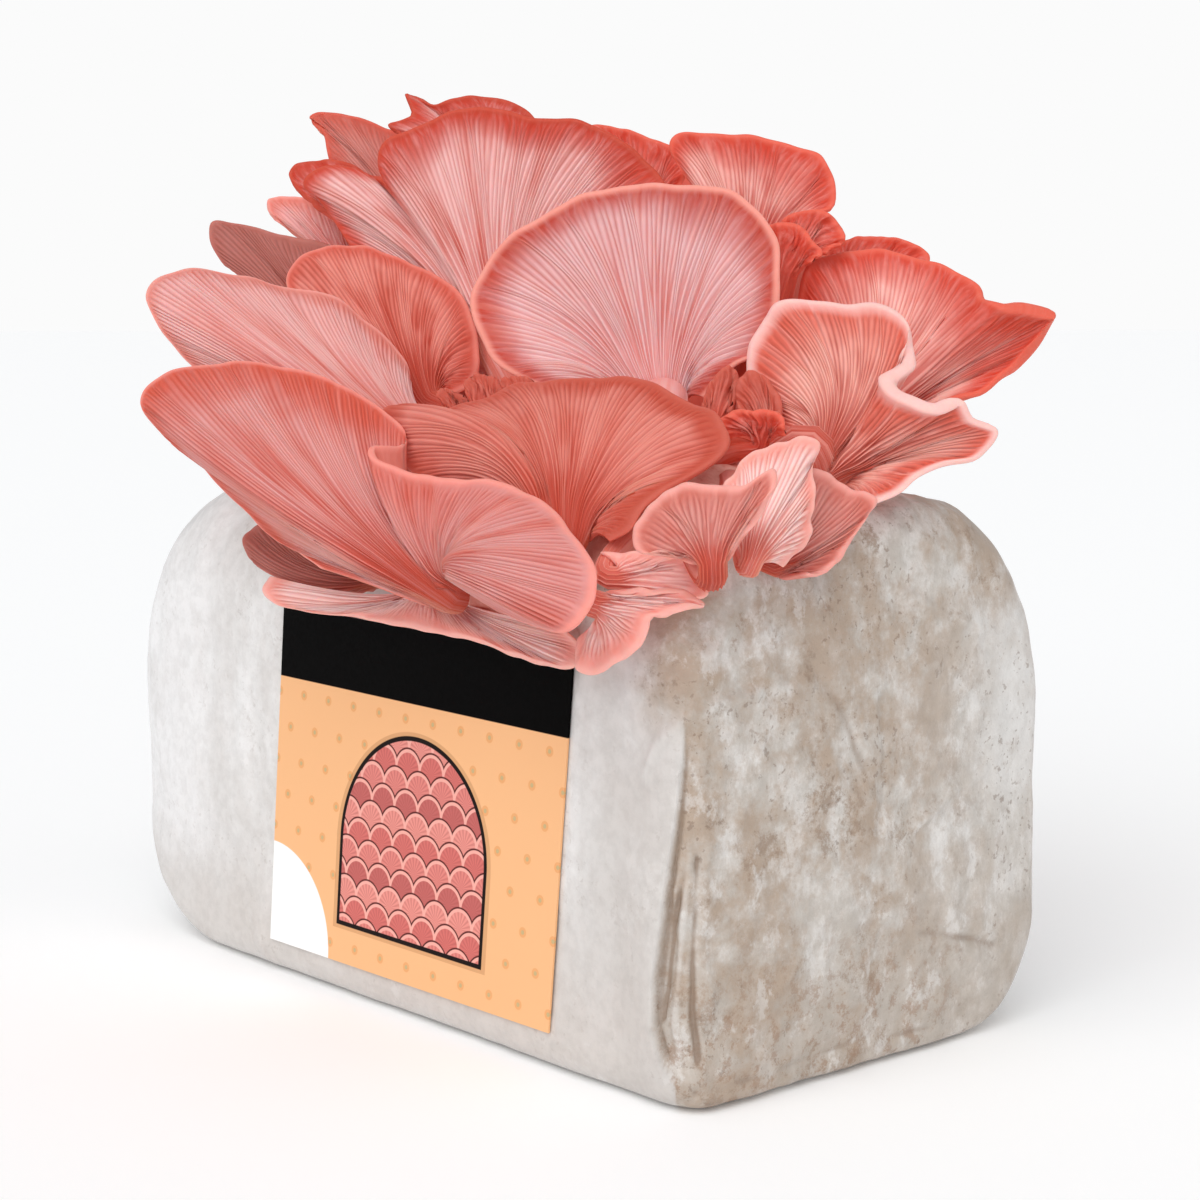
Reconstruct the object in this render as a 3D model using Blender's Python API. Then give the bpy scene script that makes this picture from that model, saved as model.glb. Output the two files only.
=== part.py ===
# Pink oyster mushroom grow kit: a fruiting block in a clear film bag with a paper label,
# and a cluster of pink oyster mushrooms growing out of a slit on the front shoulder.
# Frame: metres, +Z up, the label looks along -Y, the block's long side runs along X,
# the block stands on z = 0 with its middle over the origin.
import math

import bmesh
import bpy
import numpy as np

MM = 0.001

# block
BLOCK_LEFT = -0.128
BLOCK_RIGHT = 0.113
BLOCK_DEPTH = 0.120
BLOCK_HEIGHT = 0.132
FRONT_TOP_RADIUS = 0.032
BACK_TOP_RADIUS = 0.044
BACK_BOTTOM_RADIUS = 0.025
FRONT_BOTTOM_RADIUS = 0.006
LEFT_END_ROUNDING = 0.050
LEFT_END_DROP = 0.052
LEFT_END_LIFT = 0.048
LEFT_END_NARROWING = 0.016
RIGHT_END_ROUNDING = 0.011
RIGHT_END_DROP = 0.012
RIGHT_END_LIFT = 0.002
RIGHT_END_NARROWING = 0.006
END_BULGE = 0.003

# film bag, label and the base the mushrooms share
CLEARANCE = 0.0003
FILM_THICKNESS = 0.0008
LABEL_THICKNESS = 0.0005
LABEL_CORNERS = ((-0.047, 0.0096), (0.069, 0.0100), (0.078, 0.0980), (-0.038, 0.1000))
BASE_X = 0.044
BASE_ARC = 0.057
BASE_HALF_LENGTH = 0.060
BASE_HALF_WIDTH = 0.053
BASE_HEIGHT = 0.012
BASE_NECK_RATIO = 0.93
BASE_UNDERCUT = 0.0020
SLIT_RATIO = 0.965

# mushroom flesh; a stem is this many times its neck's radius at the foot, and leaves it this high
STEM_FOOT_RATIO = 1.1
STEM_RISE = 3.2
CAP_THICKNESS = 0.0032
RIM_THICKNESS = 0.0016
FOOT_CLEARANCE = 0.0005

# how many rows from neck to rim, and points along the rim
SMALL = (4, 7)
MEDIUM = (4, 10)
LARGE = (5, 14)

# the photograph is 1200 points square; the mushrooms are laid out along its sight lines
PICTURE_MIDDLE = 600.0
PICTURE_FOCAL = 2400.0
VIEW_AZIMUTH = math.radians(49.0)
VIEW_PITCH = math.radians(6.6)
EYE = np.array([0.4834, -0.4063, 0.1730])
AHEAD = np.array([-math.sin(VIEW_AZIMUTH) * math.cos(VIEW_PITCH),
                  math.cos(VIEW_AZIMUTH) * math.cos(VIEW_PITCH),
                  -math.sin(VIEW_PITCH)])
RIGHT = np.array([math.cos(VIEW_AZIMUTH), math.sin(VIEW_AZIMUTH), 0.0])
ABOVE = np.cross(RIGHT, AHEAD)
MIDDLE_DEPTH = 0.6468

# colour, roughness
MYCELIUM = ((0.74, 0.70, 0.64), 0.85)
FILM = ((0.86, 0.85, 0.83), 0.35)
PAPER = ((0.91, 0.52, 0.27), 0.55)
BASE_FLESH = ((0.80, 0.42, 0.36), 0.7)
PALE = ((0.84, 0.47, 0.45), 0.65)
PINK = ((0.76, 0.36, 0.32), 0.65)
CORAL = ((0.82, 0.28, 0.21), 0.65)
SHADED = ((0.55, 0.20, 0.17), 0.7)


def clear_scene():
    for item in list(bpy.data.objects):
        bpy.data.objects.remove(item, do_unlink=True)


def unit(vectors):
    return vectors / np.maximum(np.linalg.norm(vectors, axis=-1, keepdims=True), 1e-9)


def smooth(t):
    t = np.clip(t, 0.0, 1.0)
    return t * t * (3.0 - 2.0 * t)


def material(name, look):
    colour, roughness = look
    made = bpy.data.materials.new(name)
    made.use_nodes = True
    shader = made.node_tree.nodes["Principled BSDF"]
    shader.inputs["Base Color"].default_value = (*colour, 1.0)
    shader.inputs["Roughness"].default_value = roughness
    shader.inputs["Metallic"].default_value = 0.0
    return made


def add_body(name, points, faces, look):
    """One closed body, faces turned outwards."""
    mesh = bpy.data.meshes.new(name)
    mesh.from_pydata([tuple(map(float, p)) for p in points], [], faces)
    work = bmesh.new()
    work.from_mesh(mesh)
    bmesh.ops.recalc_face_normals(work, faces=work.faces)
    bmesh.ops.triangulate(work, faces=work.faces)
    if work.calc_volume(signed=True) < 0.0:
        bmesh.ops.reverse_faces(work, faces=work.faces)
    work.to_mesh(mesh)
    work.free()
    mesh.materials.append(material(name, look))
    body = bpy.data.objects.new(name, mesh)
    bpy.context.scene.collection.objects.link(body)
    return body


def rings_to_faces(rings, size, closed_start=None, closed_end=None, start=0):
    """Quads between rings of the same size, and fans to a middle point at either end."""
    faces = []
    for ring in range(rings - 1):
        for i in range(size):
            a = start + ring * size + i
            b = start + ring * size + (i + 1) % size
            faces.append((a, b, b + size, a + size))
    last = start + (rings - 1) * size
    for i in range(size):
        if closed_start is not None:
            faces.append((closed_start, start + (i + 1) % size, start + i))
        if closed_end is not None:
            faces.append((closed_end, last + i, last + (i + 1) % size))
    return faces


# block surface

def end_shape(x):
    """How far the top and bottom and the sides draw in at this place along the block."""
    left = min(max((x - BLOCK_LEFT) / LEFT_END_ROUNDING, 0.0), 1.0)
    right = min(max((BLOCK_RIGHT - x) / RIGHT_END_ROUNDING, 0.0), 1.0)
    left = 1.0 - math.sqrt(max(1.0 - (1.0 - left) ** 2, 0.0))
    right = 1.0 - math.sqrt(max(1.0 - (1.0 - right) ** 2, 0.0))
    drop = LEFT_END_DROP * left + RIGHT_END_DROP * right
    lift = LEFT_END_LIFT * left + RIGHT_END_LIFT * right
    side = LEFT_END_NARROWING * left + RIGHT_END_NARROWING * right
    return drop, lift, side


def section_point(x, v):
    """Point of the cross-section; v counts corners and sides in turn from the front-top corner."""
    drop, lift, side = end_shape(x)
    front = -BLOCK_DEPTH / 2 + side
    back = BLOCK_DEPTH / 2 - side
    bottom = lift + CLEARANCE + FILM_THICKNESS
    top = BLOCK_HEIGHT - drop
    fit = min(1.0, (top - bottom) / (BACK_TOP_RADIUS + BACK_BOTTOM_RADIUS + 0.004))
    front_top = FRONT_TOP_RADIUS * fit
    back_top = BACK_TOP_RADIUS * fit
    back_bottom = BACK_BOTTOM_RADIUS * fit
    front_bottom = FRONT_BOTTOM_RADIUS * fit
    part = int(v % 8)
    f = v % 8 - part
    turn = (part / 2 + f) * math.pi / 2

    def corner(y, z, radius):
        return y - radius * math.cos(turn), z + radius * math.sin(turn)

    def along(start, stop):
        return start + f * (stop - start)

    if part == 0:
        y, z = corner(front + front_top, top - front_top, front_top)
    elif part == 1:
        y, z = along(front + front_top, back - back_top), top
    elif part == 2:
        y, z = corner(back - back_top, top - back_top, back_top)
    elif part == 3:
        y, z = back, along(top - back_top, bottom + back_bottom)
    elif part == 4:
        y, z = corner(back - back_bottom, bottom + back_bottom, back_bottom)
    elif part == 5:
        y, z = along(back - back_bottom, front + front_bottom), bottom
    elif part == 6:
        y, z = corner(front + front_bottom, bottom + front_bottom, front_bottom)
    else:
        y, z = front, along(bottom + front_bottom, top - front_top)
    return np.array([x, y, z])


def shoulder(x, arc, height=0.0):
    """Point above the block's skin; arc runs over the top from where the front face ends."""
    drop, _, side = end_shape(x)
    front = -BLOCK_DEPTH / 2 + side
    top = BLOCK_HEIGHT - drop
    front_quarter = FRONT_TOP_RADIUS * math.pi / 2
    flat = BLOCK_DEPTH - 2 * side - FRONT_TOP_RADIUS - BACK_TOP_RADIUS
    radius = FRONT_TOP_RADIUS
    hub = front + FRONT_TOP_RADIUS
    if arc < 0.0:
        turn = 0.0
    elif arc < front_quarter:
        turn = arc / FRONT_TOP_RADIUS
    elif arc < front_quarter + flat:
        turn = math.pi / 2
        hub += arc - front_quarter
    else:
        radius = BACK_TOP_RADIUS
        turn = math.pi / 2 + (arc - front_quarter - flat) / BACK_TOP_RADIUS
        hub += flat
    out = np.array([0.0, -math.cos(turn), math.sin(turn)])
    foot = np.array([x, hub, top - radius]) + radius * out
    foot[2] += min(arc, 0.0)
    return foot + height * out


def base_point(ratio, angle, height):
    """Point over the elliptical patch of skin that the mushrooms share."""
    x = BASE_X + BASE_HALF_LENGTH * ratio * math.cos(angle)
    arc = BASE_ARC + BASE_HALF_WIDTH * ratio * math.sin(angle)
    return shoulder(x, arc, height)


def base_height(x, arc):
    ratio = ((x - BASE_X) / BASE_HALF_LENGTH) ** 2 + ((arc - BASE_ARC) / BASE_HALF_WIDTH) ** 2
    return BASE_UNDERCUT + BASE_HEIGHT * math.sqrt(max(0.0, 1.0 - ratio))


# block, film, label and shared base

def skin_body(name, lift, look):
    """The block's outer shape, grown outwards by lift."""
    stations = [BLOCK_LEFT + LEFT_END_ROUNDING * f for f in (0.0, 0.06, 0.25, 0.6, 1.0)]
    stations += [-0.030, 0.030, 0.078]
    stations += [BLOCK_RIGHT - RIGHT_END_ROUNDING * f for f in (1.0, 0.35, 0.0)]
    turns = []
    for part, pieces in enumerate((4, 1, 4, 2, 3, 1, 1, 1)):
        turns += [part + i / pieces for i in range(pieces)]
    step = 0.00002
    rings = []
    for x in stations:
        ring = []
        for v in turns:
            before = max(x - step, BLOCK_LEFT)
            after = min(x + step, BLOCK_RIGHT)
            along = section_point(after, v) - section_point(before, v)
            around = section_point(x, v + 0.001) - section_point(x, v - 0.001)
            out = unit(np.cross(along, around))
            ring.append(section_point(x, v) + lift * out)
        rings.append(np.array(ring))
    points = []
    for end, ring in ((-1.0, rings[0]), (1.0, rings[-1])):
        middle = ring.mean(axis=0)
        inner = middle + (ring - middle) * 0.55
        inner[:, 0] += end * END_BULGE * 0.8
        tip = middle + np.array([end * END_BULGE, 0.0, 0.0])
        if end < 0.0:
            rings.insert(0, inner)
            first_tip = tip
        else:
            rings.append(inner)
            last_tip = tip
    for ring in rings:
        points.extend(ring)
    points.append(first_tip)
    points.append(last_tip)
    size = len(turns)
    faces = rings_to_faces(len(rings), size, closed_start=len(points) - 2, closed_end=len(points) - 1)
    return add_body(name, points, faces, look)


def dome_body(name, rows, bottom_height, top_height, look):
    """Body over the shared patch: rows of (ratio, height) between a bottom and a top point."""
    count = 28
    points = [base_point(0.0, 0.0, bottom_height)]
    for ratio, height in rows:
        points.extend(base_point(ratio, 2 * math.pi * i / count, height) for i in range(count))
    points.append(base_point(0.0, 0.0, top_height))
    faces = rings_to_faces(len(rows), count, closed_start=0, closed_end=len(points) - 1, start=1)
    return add_body(name, points, faces, look)


def cut(body, cutter, label):
    cutter.hide_render = True
    cutter.display_type = "WIRE"
    change = body.modifiers.new(label, "BOOLEAN")
    change.operation = "DIFFERENCE"
    change.solver = "EXACT"
    change.object = cutter


def build_block():
    skin_body("substrate_block", 0.0, MYCELIUM)
    inside = skin_body("film_inside", CLEARANCE, MYCELIUM)
    slit_rows = [(0.5, -0.006), (SLIT_RATIO, -0.006), (SLIT_RATIO, 0.007), (0.5, 0.009)]
    slit = dome_body("slit_outline", slit_rows, -0.006, 0.009, MYCELIUM)
    bag = skin_body("grow_bag", CLEARANCE + FILM_THICKNESS, FILM)
    cut(bag, inside, "hollow")
    cut(bag, slit, "slit")
    rows = [(0.5, -0.006), (BASE_NECK_RATIO, -0.006), (BASE_NECK_RATIO, BASE_UNDERCUT),
            (1.0, BASE_UNDERCUT)]
    for ratio in (0.97, 0.82, 0.5):
        rows.append((ratio, BASE_UNDERCUT + BASE_HEIGHT * math.sqrt(1.0 - ratio ** 2)))
    base = dome_body("cluster_base", rows, -0.006, BASE_UNDERCUT + BASE_HEIGHT, BASE_FLESH)
    cut(base, inside, "seat")


def build_label():
    back = -(BLOCK_DEPTH / 2 + CLEARANCE + FILM_THICKNESS + CLEARANCE)
    points = []
    for y in (back, back - LABEL_THICKNESS):
        points.extend((x, y, z) for x, z in LABEL_CORNERS)
    faces = [(0, 1, 2, 3), (7, 6, 5, 4)]
    faces += [(i, (i + 1) % 4, (i + 1) % 4 + 4, i + 4) for i in range(4)]
    add_body("label", points, faces, PAPER)


# mushrooms

def on_sight_line(px, py, near):
    """Point seen at px, py of the picture, near mm in front of the plane through the origin."""
    depth = MIDDLE_DEPTH - near * MM
    across = (px - PICTURE_MIDDLE) * depth / PICTURE_FOCAL
    upward = (PICTURE_MIDDLE - py) * depth / PICTURE_FOCAL
    return EYE + AHEAD * depth + RIGHT * across + ABOVE * upward


def from_behind(side, height, near):
    """Point in mm as somebody behind the kit sees it: to the right, up, and towards them."""
    away = np.array([AHEAD[0], AHEAD[1], 0.0])
    return (unit(away) * near - RIGHT * side) * MM + np.array([0.0, 0.0, height * MM])


def smooth_line(points):
    """Fine smooth line through the points."""
    given = np.array(points, dtype=float)
    given = np.vstack([2 * given[0] - given[1], given, 2 * given[-1] - given[-2]])
    line = []
    for p0, p1, p2, p3 in zip(given, given[1:], given[2:], given[3:]):
        for u in np.linspace(0.0, 1.0, 12, endpoint=False):
            line.append(0.5 * (2 * p1 + (p2 - p0) * u + (2 * p0 - 5 * p1 + 4 * p2 - p3) * u ** 2
                               + (3 * p1 - p0 - 3 * p2 + p3) * u ** 3))
    line.append(given[-2])
    return np.array(line)


def rim_points(points, count):
    """Points that keep the rim's shape best, half of them spread evenly; and how far along each is."""
    line = smooth_line(points)
    lengths = np.concatenate([[0.0], np.cumsum(np.linalg.norm(np.diff(line, axis=0), axis=1))])
    even = np.linspace(0.0, lengths[-1], count // 2)
    chosen = sorted({int(np.abs(lengths - wanted).argmin()) for wanted in even})
    while len(chosen) < count:
        farthest = (0.0, None)
        for start, stop in zip(chosen, chosen[1:]):
            chord = unit(line[stop] - line[start])
            between = line[start + 1:stop] - line[start]
            away = between - (between @ chord)[:, None] * chord
            distance = np.linalg.norm(away, axis=1)
            if len(distance) and distance.max() > farthest[0]:
                farthest = (distance.max(), start + 1 + int(distance.argmax()))
        chosen = sorted(chosen + [farthest[1]])
    return line[chosen], lengths[chosen] / lengths[-1]


def outward_on_base(x, arc):
    """Direction square to the shared base."""
    step = 0.0005
    here = shoulder(x, arc, base_height(x, arc))
    along = shoulder(x + step, arc, base_height(x + step, arc)) - here
    over = shoulder(x, arc + step, base_height(x, arc + step)) - here
    out = unit(np.cross(along, over))
    return out if out[2] - out[1] > 0.0 else -out


def curve_point(path, f):
    """Point at f along the cubic curve with these four control points."""
    a, b, c, d = path
    return (1 - f) ** 3 * a + 3 * f * (1 - f) ** 2 * b + 3 * f * f * (1 - f) * c + f ** 3 * d


def curve_heading(path, f):
    """Direction of the same curve at f."""
    a, b, c, d = path
    return (1 - f) ** 2 * (b - a) + 2 * f * (1 - f) * (c - b) + f * f * (d - c)


def carried(direction, before, after):
    """The direction, turned the shortest way that takes before to after."""
    axis = np.cross(before, after)
    cosine = before @ after
    return direction * cosine + np.cross(axis, direction) + axis * (axis @ direction) / (1.0 + cosine)


def mushroom(name, foot, neck, stem, shade, rim, place=on_sight_line, lift=0.32, grow=None,
             detail=SMALL):
    """Cap and stem grown as one: a fan of gill lines from the neck to the rim.

    foot is (x, arc) in mm on the shared base, stem the neck's radius in mm. The rim runs
    clockwise as seen from the gill side.
    """
    rows, count = detail
    foot_x, foot_arc = foot[0] * MM, foot[1] * MM
    root = shoulder(foot_x, foot_arc, base_height(foot_x, foot_arc) + FOOT_CLEARANCE)
    up = outward_on_base(foot_x, foot_arc)
    middle = place(*neck)
    kept, share = rim_points(rim, count)
    edge = np.array([place(*p) for p in kept])
    radius = stem * MM
    if grow is None:
        axis = unit(unit(middle - root) + 1.3 * unit(edge.mean(axis=0) - middle))
    else:
        axis = unit(grow[0] * RIGHT + grow[1] * ABOVE - grow[2] * AHEAD)
    viewer = -AHEAD if place is on_sight_line else np.array([AHEAD[0], AHEAD[1], 0.0])
    facing = unit(viewer - axis * (viewer @ axis))
    across = unit(np.cross(axis, facing))

    # half turns around the stem, gill side and upper side, from the foot up to the neck
    turn = math.pi * share
    swing = -np.cos(turn)[:, None]
    bulge = np.maximum(0.9 * np.sin(turn), 0.09)[:, None]
    reach = np.linalg.norm(middle - root)
    knee = middle - axis * min(0.4 * reach, 0.005 + 0.15 * reach)
    leaving = (knee - root) * 2 / 3
    leaving += up * max(0.0, STEM_RISE * radius - leaving @ up)
    path = (root, root + leaving, knee + (middle - knee) / 3, middle)
    loops = []
    right, front, before = across, facing, axis
    for f in (0.5, 0.0):
        here = unit(curve_heading(path, f)) if f > 0.0 else up
        right, front = carried(right, before, here), carried(front, before, here)
        before = here
        size = radius * (STEM_FOOT_RATIO * (1 - f) + f)
        centre = curve_point(path, f)
        loops.insert(0, np.vstack([centre + size * (swing * right + bulge * front),
                                   (centre + size * (swing * right - bulge * front))[::-1]]))

    # gill lines run from the neck, lean with the stem, and spread to the rim
    along = np.linspace(0.0, 1.0, rows)[:, None, None]
    start = middle + swing * across * radius
    length = np.linalg.norm(edge - middle, axis=1)[:, None]
    bend = start + axis * lift * length + (edge - start) * 0.22
    surface = (1 - along) ** 2 * start + 2 * along * (1 - along) * bend + along ** 2 * edge
    out = unit(np.cross(np.gradient(surface, axis=1), np.gradient(surface, axis=0)))
    blend = smooth(along / 0.25)
    out = unit(out * blend + facing * (1 - blend))
    flat = smooth(along / 0.35)
    thick = CAP_THICKNESS * (1 - along) + RIM_THICKNESS * along
    taper = (0.35 + 0.65 * np.sqrt(np.abs(np.sin(turn))))[None, :, None]
    half = (1 - flat) * 0.9 * radius * np.sin(turn)[None, :, None] + flat * thick / 2 * taper
    half = np.maximum(half, 0.0004)
    for gill_side, upper_side in zip(surface + out * half, surface - out * half):
        loops.append(np.vstack([gill_side, upper_side[::-1]]))

    points = np.vstack(loops + [loops[0].mean(axis=0)])
    size = 2 * count
    last = (len(loops) - 1) * size
    faces = [(last + i, last + i + 1, last + size - 2 - i, last + size - 1 - i)
             for i in range(count - 1)]
    faces += rings_to_faces(len(loops), size, closed_start=len(points) - 1)
    add_body(name, points, faces, shade)


def build_front_mushrooms():
    """Rim and neck points are (px, py, near) along the photograph's sight lines."""
    mushroom("mushroom_front_left_large", foot=(38, 18), neck=(450, 594, 99), stem=4.5, shade=PALE,
             rim=[(318, 566, 92), (262, 524, 76), (202, 463, 68), (161, 433, 62), (140, 402, 58),
                  (164, 376, 56), (228, 363, 58), (304, 372, 66), (362, 398, 74), (399, 424, 80),
                  (403, 441, 84), (370, 445, 92), (374, 457, 98), (440, 476, 106), (510, 486, 116),
                  (552, 507, 130), (576, 540, 144), (596, 570, 155), (592, 606, 158), (568, 632, 156),
                  (525, 624, 140), (492, 606, 122)], detail=LARGE)
    mushroom("mushroom_front_center", foot=(66, 24), neck=(565, 543, 119), stem=5, shade=PALE,
             rim=[(470, 470, 88), (400, 440, 74), (385, 411, 68), (430, 409, 70), (480, 404, 76),
                  (525, 386, 82), (598, 378, 90), (659, 386, 98), (707, 409, 108), (728, 436, 116),
                  (718, 453, 120), (690, 459, 122), (666, 483, 124), (645, 502, 127), (631, 530, 130),
                  (610, 542, 129)], detail=LARGE)
    mushroom("mushroom_center_tall", foot=(62, 56), neck=(660, 408, 63), stem=6, shade=PALE,
             rim=[(560, 395, 63), (508, 373, 61), (480, 338, 59), (469, 302, 57), (486, 264, 57),
                  (520, 230, 59), (575, 196, 63), (642, 186, 66), (714, 185, 68), (757, 210, 70),
                  (779, 248, 72), (780, 300, 74), (766, 346, 75), (732, 370, 73),
                  (705, 398, 69)], detail=LARGE)
    mushroom("mushroom_upper_left_large", foot=(16, 60), neck=(500, 345, 11), stem=6, shade=PALE,
             rim=[(400, 320, -2), (345, 240, -15), (318, 198, -17), (306, 183, -17), (320, 170, -15),
                  (345, 166, -13), (375, 176, -11), (390, 190, -2), (378, 165, 3), (385, 143, 5),
                  (420, 123, 5), (471, 108, 8), (528, 115, 10), (579, 121, 13), (630, 147, 15),
                  (665, 180, 17), (670, 230, 22), (620, 300, 22)], detail=LARGE)
    mushroom("mushroom_upper_right", foot=(60, 80), neck=(745, 268, 30), stem=5, shade=CORAL,
             rim=[(715, 230, 26), (690, 185, 26), (669, 150, 26), (674, 134, 26), (700, 133, 26),
                  (760, 138, 28), (797, 144, 30), (822, 156, 32), (834, 182, 34), (830, 208, 36),
                  (800, 214, 36), (782, 228, 36)], detail=MEDIUM)
    mushroom("mushroom_right_large", foot=(94, 66), neck=(825, 471, 96), stem=5, shade=PINK,
             rim=[(775, 430, 86), (748, 385, 80), (748, 350, 78), (765, 318, 77), (784, 300, 77),
                  (845, 304, 82), (890, 310, 86), (912, 330, 88), (908, 358, 92), (888, 374, 98),
                  (902, 393, 104), (935, 404, 106), (965, 398, 105), (975, 418, 103), (998, 431, 101),
                  (980, 455, 101), (925, 471, 103), (908, 488, 106)], detail=LARGE)
    mushroom("mushroom_far_right", foot=(84, 78), neck=(852, 432, 63), stem=6, shade=CORAL,
             rim=[(810, 380, 53), (796, 330, 45), (803, 275, 39), (830, 256, 39), (879, 249, 41),
                  (937, 265, 47), (978, 281, 53), (984, 297, 59), (1000, 303, 63), (1030, 305, 59),
                  (1052, 312, 55), (1050, 328, 54), (1038, 347, 55), (1012, 368, 57), (985, 391, 61),
                  (950, 400, 63), (910, 430, 63)], detail=LARGE)
    mushroom("mushroom_low_right_inner", foot=(92, 36), neck=(712, 564, 155), stem=3, shade=PALE,
             rim=[(662, 556, 152), (640, 553, 149), (632, 540, 147), (637, 524, 146), (653, 503, 146),
                  (683, 486, 148), (714, 481, 150), (746, 483, 152), (773, 470, 152), (774, 490, 154),
                  (752, 520, 155), (732, 546, 156)], lift=0.12, grow=(-0.1, 1, 0.1), detail=MEDIUM)
    mushroom("mushroom_low_right_middle", foot=(98, 47), neck=(752, 560, 144), stem=2.5, shade=PALE,
             rim=[(722, 520, 132), (726, 485, 128), (740, 463, 124), (758, 449, 122), (801, 440, 121),
                  (819, 448, 121), (812, 466, 125), (816, 495, 129), (806, 540, 133),
                  (784, 568, 135)], lift=0.12, grow=(0.3, 1, 0.1), detail=MEDIUM)
    mushroom("mushroom_low_right_outer", foot=(101, 55), neck=(776, 566, 125), stem=2.5, shade=PINK,
             rim=[(786, 524, 125), (794, 486, 120), (808, 470, 117), (828, 475, 115), (850, 489, 114),
                  (877, 500, 115), (868, 518, 117), (852, 543, 120), (838, 561, 124), (822, 573, 126),
                  (808, 569, 128)], lift=0.12, grow=(1, 0, 0.2), detail=MEDIUM)
    mushroom("mushroom_front_drooping", foot=(79, 16), neck=(600, 606, 130), stem=3, shade=PINK,
             rim=[(622, 592, 134), (650, 590, 138), (685, 594, 141), (703, 606, 143), (672, 613, 141),
                  (654, 618, 139), (646, 638, 138), (630, 656, 137), (602, 671, 134), (577, 668, 131),
                  (578, 640, 128)], lift=0.1, grow=(1, -0.3, 0.2), detail=MEDIUM)
    mushroom("mushroom_front_small", foot=(91, 29), neck=(618, 578, 129), stem=2.5, shade=CORAL,
             rim=[(606, 562, 126), (628, 562, 129), (660, 566, 131), (690, 574, 133), (706, 586, 136),
                  (703, 598, 137), (672, 600, 134), (642, 596, 131)], lift=0.1, grow=(1, 0.1, 0.1))
    mushroom("mushroom_front_lowest", foot=(23, 4), neck=(436, 624, 85), stem=3, shade=PINK,
             rim=[(360, 612, 68), (284, 604, 55), (264, 596, 50), (270, 578, 50), (300, 569, 53),
                  (330, 586, 59), (380, 590, 69), (440, 602, 85), (500, 620, 99), (538, 637, 109),
                  (575, 666, 116), (520, 650, 104), (480, 642, 95)], detail=MEDIUM)
    mushroom("mushroom_left_lowest", foot=(4, 20), neck=(382, 577, 63), stem=2.5, shade=SHADED,
             rim=[(340, 574, 52), (284, 561, 43), (252, 557, 37), (244, 536, 35), (262, 524, 35),
                  (285, 530, 41), (330, 552, 54), (370, 572, 64)])
    mushroom("mushroom_left_wide", foot=(0, 40), neck=(425, 458, 53), stem=5.5, shade=PALE,
             rim=[(330, 445, 45), (240, 410, 37), (188, 362, 31), (154, 316, 25), (145, 292, 21),
                  (166, 276, 18), (215, 274, 16), (279, 284, 18), (342, 305, 24), (401, 356, 36),
                  (412, 404, 44), (424, 440, 51)], detail=MEDIUM)
    mushroom("mushroom_left_inner", foot=(-6, 52), neck=(425, 402, 28), stem=5, shade=PINK,
             rim=[(370, 380, 18), (310, 330, 8), (288, 290, 1), (292, 266, -3), (320, 249, -4),
                  (368, 249, -3), (427, 269, 3), (462, 300, 11), (478, 335, 18), (478, 378, 24),
                  (450, 398, 28)], detail=MEDIUM)
    mushroom("mushroom_left_shaded", foot=(-9, 63), neck=(330, 330, -20), stem=4.5, shade=SHADED,
             rim=[(300, 300, -28), (252, 278, -34), (222, 259, -36), (211, 236, -36), (216, 221, -36),
                  (253, 227, -34), (304, 239, -28), (350, 256, -24), (370, 300, -20)], detail=MEDIUM)
    mushroom("mushroom_left_small_pale", foot=(-7, 73), neck=(345, 268, -34), stem=3.5, shade=PINK,
             rim=[(315, 244, -38), (291, 228, -40), (270, 214, -42), (272, 200, -44), (300, 197, -42),
                  (340, 210, -38), (362, 240, -34)])
    mushroom("mushroom_upper_left_small", foot=(1, 78), neck=(365, 232, -22), stem=3.5, shade=PINK,
             rim=[(345, 222, -22), (312, 201, -24), (292, 185, -26), (290, 170, -28), (317, 161, -28),
                  (345, 162, -26), (375, 180, -24), (385, 210, -22)])
    mushroom("mushroom_upper_left_tip", foot=(8, 84), neck=(400, 200, -34), stem=4.5, shade=PINK,
             rim=[(350, 190, -34), (328, 160, -38), (322, 131, -40), (310, 120, -42), (320, 113, -42),
                  (345, 115, -40), (382, 125, -38), (420, 140, -36), (440, 170, -34)], detail=MEDIUM)
    mushroom("mushroom_topmost", foot=(20, 88), neck=(500, 175, -22), stem=4.5, shade=CORAL,
             rim=[(450, 160, -22), (403, 137, -25), (386, 124, -26), (411, 115, -27), (407, 95, -30),
                  (434, 105, -28), (455, 98, -26), (485, 94, -26), (512, 103, -24), (535, 120, -22),
                  (560, 150, -22)], detail=MEDIUM)
    mushroom("mushroom_top_center", foot=(34, 76), neck=(640, 215, 6), stem=4, shade=CORAL,
             rim=[(600, 180, 4), (575, 135, 2), (600, 126, 0), (645, 134, 2), (676, 148, 4),
                  (687, 165, 6), (680, 190, 6)])
    mushroom("mushroom_right_small_upper", foot=(74, 82), neck=(790, 262, 42), stem=3.5, shade=CORAL,
             rim=[(780, 240, 42), (782, 222, 42), (797, 213, 42), (815, 209, 44), (833, 216, 44),
                  (848, 239, 46), (826, 252, 46)])
    mushroom("mushroom_right_small_lower", foot=(70, 72), neck=(780, 275, 58), stem=3.5, shade=CORAL,
             rim=[(764, 250, 58), (768, 228, 58), (792, 224, 59), (808, 232, 60), (823, 249, 62),
                  (812, 262, 62)])
    mushroom("mushroom_right_sliver", foot=(66, 92), neck=(840, 300, 20), stem=4, shade=CORAL,
             rim=[(815, 270, 18), (830, 246, 16), (855, 238, 16), (890, 238, 18), (918, 246, 20),
                  (930, 260, 22), (915, 285, 22)])
    mushroom("mushroom_young_left", foot=(20, 33), neck=(462, 418, 56), stem=3, shade=PINK,
             rim=[(448, 408, 54), (438, 394, 53), (446, 388, 52), (460, 392, 54), (470, 402, 56)])
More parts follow.
